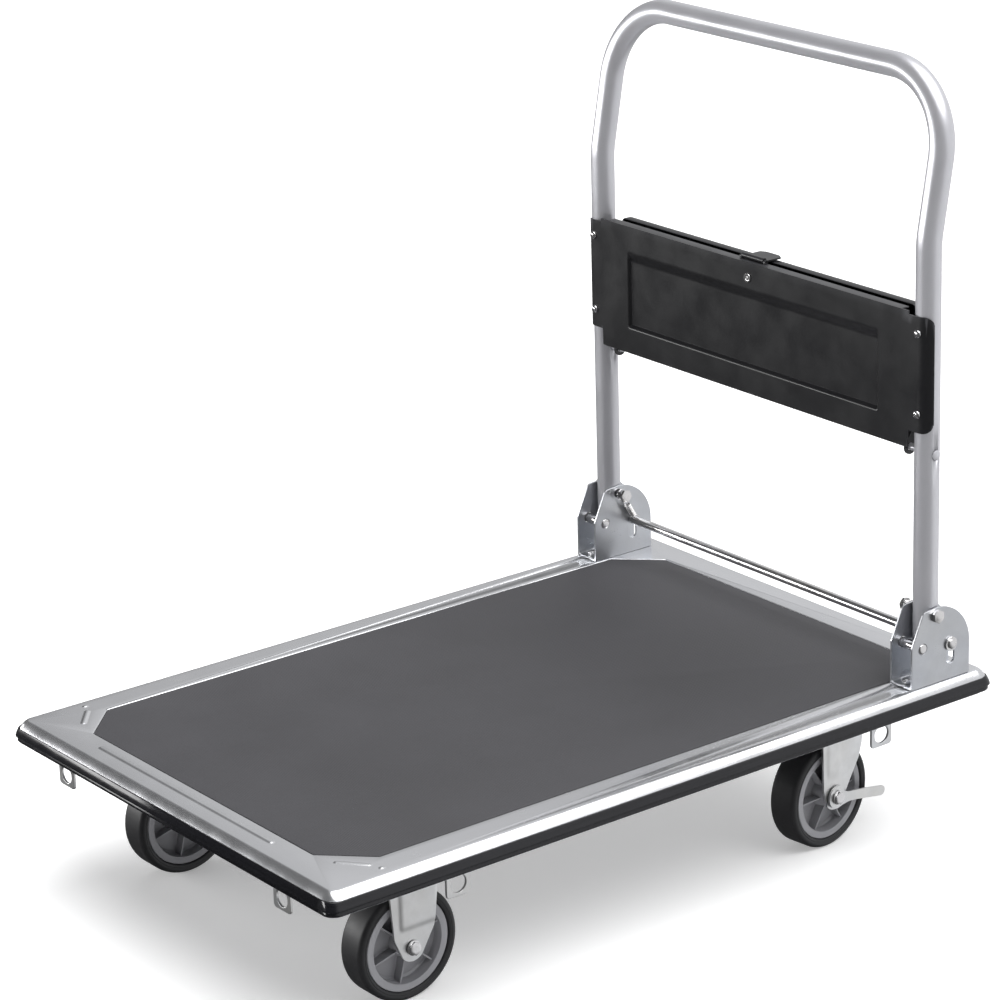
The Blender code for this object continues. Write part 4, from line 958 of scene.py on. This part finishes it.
def bracket_outline(low, high):
    """Side of a bracket: upright front, sloping nose, tight shoulder and round back."""
    back = arc((low.x + 0.051, PIVOT.z - 0.0415), 0.051, math.radians(88), math.pi, 26)
    shoulder = (high.x - 0.0175, PIVOT.z + 0.0078)
    corners = [(high.x, low.z), (high.x, DECK_TOP + 0.050), shoulder, back[0], (low.x, low.z)]
    nose = rounded(corners, 0.006, 6)[7:21]
    return [(high.x, low.z)] + nose + back[1:] + [(low.x, low.z)]


def build_bracket(side_name):
    name = "handle_bracket_" + side_name
    low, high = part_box(name)
    wall, radius = 0.0025, 0.004
    bracket = to_object("plate_" + name, prism(bracket_outline(low, high), "Y", low.y, high.y))
    inside = trough(low.y + wall, high.y - wall, low.z + wall, high.z + 0.01, radius)
    cut(bracket, prism(inside, "X", low.x - 0.01, high.x + 0.01))
    stroke, loose = JOINTS["rod_press"]["range_m"][1], ROD_RADIUS + 0.0003
    slot = arc((ROD_MIDDLE.x, ROD_MIDDLE.z), loose, 0, math.pi, 12)
    slot += arc((ROD_MIDDLE.x, ROD_MIDDLE.z - stroke), loose, math.pi, 2 * math.pi, 12)
    across = (low.y - 0.01, high.y + 0.01)
    stop, base = middle_of("stop_pin_" + side_name), middle_of("base_bolt_" + side_name)
    cut(bracket, prism(slot, "Y", *across), rod("Y", PIVOT.xz, PIVOT_HOLE, *across),
        rod("Y", stop.xz, STOP_RADIUS + 0.0004, *across),
        rod("Z", base.xy, BASE_HOLE, low.z - 0.01, low.z + 0.01))
    soften(bracket, 0.0006)
    finish(bracket, name, "zinc_plate", "zinc_blue")


def build_bracket_bolts(side, side_name):
    name = "pivot_bolt_" + side_name
    finish_bright(hex_bolt(name, "Y", PIVOT.xz, 0.0098, 0.0140, 0.0035, cross_grip(name, side),
                           0.0046 * side, 0.0002), name)

    name = "stop_pin_" + side_name
    low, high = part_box(name)
    ends = [(STOP_RADIUS * 0.55, low.y), (STOP_RADIUS * 0.9, low.y + 0.0004),
            (STOP_RADIUS, low.y + 0.001)]
    ends += [(r, low.y + high.y - y) for r, y in reversed(ends)]
    finish_bright(to_object("pin_" + name, turned(ends, "Y", middle_of(name).xz, 40), 50), name)

    name = "base_bolt_" + side_name
    low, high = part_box(name)
    finish_bright(hex_bolt(name, "Z", middle_of(name).xy, 0.0078, 0.0115, 0.0035,
                           (low.z + 0.0035, high.z - 0.0050), 0.0042, 0.0006), name)


def build_spring(side_name):
    """Close-coiled extension spring with a hook round the pivot bolt and one round the rod."""
    name = "return_spring_" + side_name
    y = middle_of(name).y
    top, foot = Vector((PIVOT.x, y, PIVOT.z)), Vector((ROD_MIDDLE.x, y, ROD_MIDDLE.z))
    along = (foot - top).normalized()
    across = Vector((-along.z, 0, along.x))
    wire, coil, top_hook, foot_hook, steps = 0.0007, 0.0041, 0.0062, 0.0066, 14
    start, end = 0.0175, (foot - top).length - 0.0088
    turns = int((end - start) / (2.25 * wire))

    def hook(centre, radius, first, step):
        return [centre + across * radius * math.cos(t) + along * radius * math.sin(t)
                for t in [math.radians(first + step * k) for k in range(13)]]

    path = hook(top, top_hook, -150, 15)
    path += [top + along * 0.0105 + across * 0.0025]
    for k in range(turns * steps + 1):
        turn = 2 * math.pi * k / steps
        middle = top + along * (start + (end - start) * k / (turns * steps))
        path.append(middle + across * coil * math.cos(turn) + Vector((0, coil * math.sin(turn), 0)))
    path += hook(foot, -foot_hook, 60, -15)
    rings = swept_rings(path, wire, Vector((0.3, 1, 0.2)), 8)
    spring = to_object("coil_" + name, loft(rings), 60)
    spring.data.materials.append(LOOK["zinc_bright"])
    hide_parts(name)
    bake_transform(spring)


def build_release_rod():
    """The foot bar, with a collar outside each bracket."""
    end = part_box("release_rod")[1].y
    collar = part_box("handle_bracket_left")[1].y
    half = [(ROD_RADIUS * 0.82, end), (ROD_RADIUS, end - 0.0008), (ROD_RADIUS, collar + 0.0023),
            (0.0082, collar + 0.0023), (0.0085, collar + 0.0019), (0.0085, collar + 0.0007),
            (0.0082, collar + 0.0003), (ROD_RADIUS, collar + 0.0003)]
    profile = [(r, -a) for r, a in half] + half[::-1]
    finish_bright(to_object("foot_bar", turned(profile, "Y", ROD_MIDDLE.xz, 40), 40), "release_rod")


# --- handle ---------------------------------------------------------------------------
TUBE_RADIUS = 0.014
TUBE_WALL = 0.0015
HANDLE_LOW, HANDLE_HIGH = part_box("handle_tube")
LEG_Y = HANDLE_HIGH.y - TUBE_RADIUS
BEND_Z = 0.683
BEND_RADIUS = 0.110
BEND_ANGLE = math.radians(10.5)
GRIP_CORNER = 0.088


def handle_path():
    """Centre line of the bent tube, from the foot of the left leg to that of the right one."""
    top_z = HANDLE_HIGH.z - TUBE_RADIUS
    bend = BEND_RADIUS * BEND_ANGLE
    rise = top_z - BEND_Z - BEND_RADIUS * math.sin(BEND_ANGLE)
    top = bend + rise / math.cos(BEND_ANGLE)
    foot = HANDLE_LOW.z - BEND_Z
    flat = [(LEG_Y, foot * (1 - k / 10)) for k in range(10)]
    flat += [(LEG_Y, bend * k / 10) for k in range(10)]
    flat += [(LEG_Y, bend + (top - GRIP_CORNER - bend) * k / 4) for k in range(4)]
    flat += arc((LEG_Y - GRIP_CORNER, top - GRIP_CORNER), GRIP_CORNER, 0, math.pi / 2, 26)
    flat += [((LEG_Y - GRIP_CORNER) * (1 - k / 5), top) for k in range(1, 5)]
    flat += [(0.0, top)] + [(-y, along) for y, along in reversed(flat)]
    points = []
    for y, along in flat:
        turn = min(max(along / BEND_RADIUS, 0.0), BEND_ANGLE)
        back = BEND_RADIUS * (1 - math.cos(turn))
        straight = along - BEND_RADIUS * turn
        points.append(Vector((PIVOT.x - back - straight * math.sin(turn), y,
                              BEND_Z + BEND_RADIUS * math.sin(turn) + straight * math.cos(turn))))
    return points


def build_handle():
    path = handle_path()
    outer, inner = (swept_rings(path, radius, Vector((1, 0, 0)), 48)
                    for radius in (TUBE_RADIUS, TUBE_RADIUS - TUBE_WALL))
    handle = to_object("handle_bar", loft(outer + inner[::-1], closed=True), 40)
    reach = LEG_Y + 0.03
    cut(handle, rod("Y", PIVOT.xz, PIVOT_HOLE, -reach, reach),
        rod("Y", TRAY_PIVOT.xz, HINGE_HOLE, -reach, reach))
    finish(handle, "handle_tube", "handle_paint")


# --- front panel ----------------------------------------------------------------------
PANEL_LOW, PANEL_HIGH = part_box("front_panel")
EAR_TOP, EAR_BOTTOM = 0.004, 0.135       # below the panel's top
EAR_WRAP = math.radians(73)
RECESS_TOP, RECESS_BOTTOM = 0.031, 0.125
RECESS_HALF = LEG_Y - 0.061
RECESS_DEPTH = 0.0040
HEM_DEPTH = 0.0125


def sunk(y, drop):
    """How deep the pressed field lies at a place on the panel."""
    upper = smooth_step(drop, RECESS_TOP - 0.001, RECESS_TOP + 0.013)
    lower = smooth_step(-drop, -RECESS_BOTTOM, 0.0046 - RECESS_BOTTOM)
    ends = smooth_step(-abs(y), -RECESS_HALF, 0.0040 - RECESS_HALF)
    return RECESS_DEPTH * upper * lower * ends


def panel_stations():
    """Places across half the panel: X, Y and the length from the ear's end."""
    radius = TUBE_RADIUS + 0.0003
    half = [(PIVOT.x + radius * math.cos(t), LEG_Y + radius * math.sin(t), radius * (EAR_WRAP - t))
            for t in [EAR_WRAP * (1 - k / 22) for k in range(22)]]
    reach = radius * EAR_WRAP
    inner = LEG_Y - TUBE_RADIUS
    flat = [LEG_Y, LEG_Y - 0.005, LEG_Y - 0.010, inner + 0.0002, inner - 0.0002]
    flat += [inner - 0.012, inner - 0.024, inner - 0.036, RECESS_HALF + 0.002]
    flat += [RECESS_HALF + 0.0005 - 0.0005 * k for k in range(13)]
    flat += [RECESS_HALF - 0.0056 - 0.012 * k for k in range(1, 17)]
    flat = [y for y in flat if y > 0.004]
    return half + [(PANEL_HIGH.x - SHEET, y, reach + LEG_Y - y) for y in flat]


def panel_drops(y, length):
    """Heights of one station, as distances below the panel's top, from the top down."""
    on_ear = y > LEG_Y - TUBE_RADIUS
    top, bottom = (EAR_TOP, EAR_BOTTOM) if on_ear else (0.0, PANEL_HIGH.z - PANEL_LOW.z)
    if on_ear:
        corner = 0.012
        share = max(corner - length, 0.0)
        drop = corner - math.sqrt(corner ** 2 - share ** 2)
        top, bottom = top + drop * 0.75, bottom - drop
    field = [RECESS_TOP - 0.002 + 0.0008 * k for k in range(22)]
    field += [RECESS_TOP + 0.018 + (RECESS_BOTTOM - 0.0070 - RECESS_TOP - 0.018) * k / 12
              for k in range(12)]
    field += [RECESS_BOTTOM - 0.0070 + 0.0005 * k for k in range(17)]
    rest = [top, top + (field[0] - top) * 0.5] + field
    return rest + [(field[-1] + bottom) / 2, bottom]


def panel_hem():
    """The panel's top edge, folded back over the tray."""
    top, front, radius = PANEL_HIGH.z, PANEL_HIGH.x, 0.0018
    back = front - HEM_DEPTH
    lip = [(front - 0.0002, top - 0.004), (front - 0.0002, top - radius)]
    lip += arc((front - radius, top - radius), radius, 0, math.pi / 2, 6)[1:]
    lip += [(back + 0.0006, top), (back, top - 0.0007), (back + 0.0006, top - SHEET),
            (front - 0.0028, top - SHEET), (front - 0.0013, top - 0.004)]
    return prism(lip, "Y", 0.026 - LEG_Y, LEG_Y - 0.026)


def build_panel():
    half = panel_stations()
    stations = half + [(x, -y, s) for x, y, s in reversed(half)]
    grid = [[(x - sunk(y, drop), y, PANEL_HIGH.z - drop) for drop in panel_drops(abs(y), s)]
            for x, y, s in stations]
    panel = pressed_sheet("panel", grid, Vector((1, 0, 0)), SHEET)
    join(panel, panel_hem())
    soften(panel, 0.0004, angle=60)
    finish(panel, "front_panel", "panel_paint")


def dome(name, spot, profile, sides=40):
    """A small turned piece on the panel's front, facing +X."""
    points = [(radius, spot.x + along) for radius, along in profile]
    return to_object(name, turned(points, "X", (spot.y, spot.z), sides), 40)


def build_panel_fasteners():
    """Blind rivets with a sunk middle at the ears, and one wide rivet over the field."""
    head = PANEL_HIGH.x + 0.0003
    for _, side_name in SIDES:
        for level in ("upper", "lower"):
            name = f"panel_screw_{side_name}_{level}"
            low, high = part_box(name)
            spot = Vector((head, (low.y + high.y) / 2, (low.z + high.z) / 2))
            profile = [(0.0024, low.x - head), (0.0024, 0), (0.0048, 0), (0.0047, 0.0006),
                       (0.0042, 0.0015), (0.0034, 0.0023), (0.0024, 0.0028), (0.0016, 0.0029),
                       (0.0013, 0.0026), (0.0012, 0.0012), (0.0002, 0.0010)]
            finish_bright(dome("rivet_" + name, spot, profile), name)
    low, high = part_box("panel_rivet")
    spot = Vector((head, 0, (low.z + high.z) / 2))
    profile = [(0.0044, low.x - head), (0.0044, low.x - head + 0.0015), (0.0025, low.x - head + 0.0015),
               (0.0025, 0), (0.0054, 0), (0.0054, 0.0007), (0.0050, 0.0012), (0.0042, 0.0012),
               (0.0038, 0.0007), (0.0030, 0.0005), (0.0012, 0.0007), (0.0002, 0.0009)]
    finish_bright(dome("rivet_middle", spot, profile), "panel_rivet")


# --- tray and latch -------------------------------------------------------------------
def build_tray():
    """A shallow pressed pan, open to the front, with an ear round each hinge bolt."""
    low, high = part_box("tray_panel")
    back = low.x
    depth, wall = 0.012, 0.0015
    half_y = high.y
    foot = low.z + 0.004
    half_z, middle = (high.z - foot) / 2, (high.z + foot) / 2

    def ring(x, inset, corner=0.006):
        outline = rounded_rectangle(half_y - inset, half_z - inset, max(corner - inset, 0.0012), 8)
        return [Vector((x, y, middle + z)) for y, z in outline]

    radius = 0.003
    rings = [ring(back + radius * (1 - math.sin(t)), radius * (1 - math.cos(t)))
             for t in [math.pi / 2 * (1 - k / 6) for k in range(7)]]
    rings += [ring(back + depth - 0.0008, 0), ring(back + depth, 0.0005), ring(back + depth, 0.0010),
              ring(back + depth - 0.0008, wall)]
    rings += [ring(back + wall + 0.0018 * (1 - math.sin(t)), wall + 0.0018 * (1 - math.cos(t)))
              for t in [math.pi / 2 * k / 5 for k in range(6)]]
    tray = to_object("tray", loft(rings), 40)
    for side, _ in SIDES:
        near, far = sorted((side * half_y, side * (half_y - wall)))
        outline = arc(TRAY_PIVOT.xz, 0.009, math.radians(-120), math.radians(60), 20)
        outline += [(back + depth - 0.002, TRAY_PIVOT.z + 0.030),
                    (back + 0.004, TRAY_PIVOT.z + 0.030), (back + 0.004, TRAY_PIVOT.z + 0.006)]
        join(tray, prism(outline, "Y", near + 0.00005, far - 0.00005))
        cut(tray, rod("Y", TRAY_PIVOT.xz, HINGE_HOLE, near - 0.01, far + 0.01))
    soften(tray, 0.0003, angle=60)
    finish(tray, "tray_panel", "panel_paint")
    for side, side_name in SIDES:
        name = "tray_hinge_bolt_" + side_name
        grip, spot = cross_grip(name, side), TRAY_PIVOT.xz
        inner, outer = grip[::side]
        head = [(0.0055, outer), (0.0055, outer + side * 0.0004), (0.0040, outer + side * 0.0012),
                (0.0010, outer + side * 0.0016)]
        parts = [turned(head, "Y", spot, 32), rod("Y", spot, 0.0039, *grip),
                 hex_part("Y", spot, 0.0080, *sorted((inner, inner - side * 0.0030)))]
        finish(stacked("bolt_" + name, parts), name, "zinc_plate", "handle_paint")


def build_latch():
    low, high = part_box("latch_tongue")
    half = high.y
    thick = 0.002
    level = LATCH_PIN.z - 0.0015
    flat = [(LATCH_PIN.x - 0.0022, half), (low.x + 0.004, half), (low.x, half - 0.007),
            (low.x, 0.007 - half), (low.x + 0.004, -half), (LATCH_PIN.x - 0.0022, -half)]
    tongue = to_object("tongue", prism(flat, "Z", level - thick / 2, level + thick / 2))
    eye = [(0.0016, -half), (0.0031, -half), (0.0031, half), (0.0016, half)]
    join(tongue, turned(eye, "Y", LATCH_PIN.xz, 28, closed=True))
    soften(tongue, 0.0005)
    finish(tongue, "latch_tongue", "panel_paint")

    low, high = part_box("latch_pin")
    pin = to_object("hinge_pin", rod("Y", LATCH_PIN.xz, 0.0013, low.y, high.y, 24))
    for side, _ in SIDES:
        near, far = sorted((side * (high.y - 0.003), side * high.y))
        post = [(LATCH_PIN.x - 0.0026, low.z), (LATCH_PIN.x + 0.0026, low.z)]
        post += arc((LATCH_PIN.x, high.z - 0.0026), 0.0026, 0, math.pi, 10)
        join(pin, prism(post, "Y", near, far))
    soften(pin, 0.0003)
    finish(pin, "latch_pin", "zinc_plate", "panel_paint")


# --- the whole cart -------------------------------------------------------------------
build_camera()
build_studio()
build_deck()
build_mat()
build_bumper()
build_rails()
build_lugs()
build_castors()
for way, label in SIDES:
    build_bracket(label)
    build_bracket_bolts(way, label)
    build_spring(label)
build_release_rod()
build_handle()
build_panel()
build_panel_fasteners()
build_tray()
build_latch()
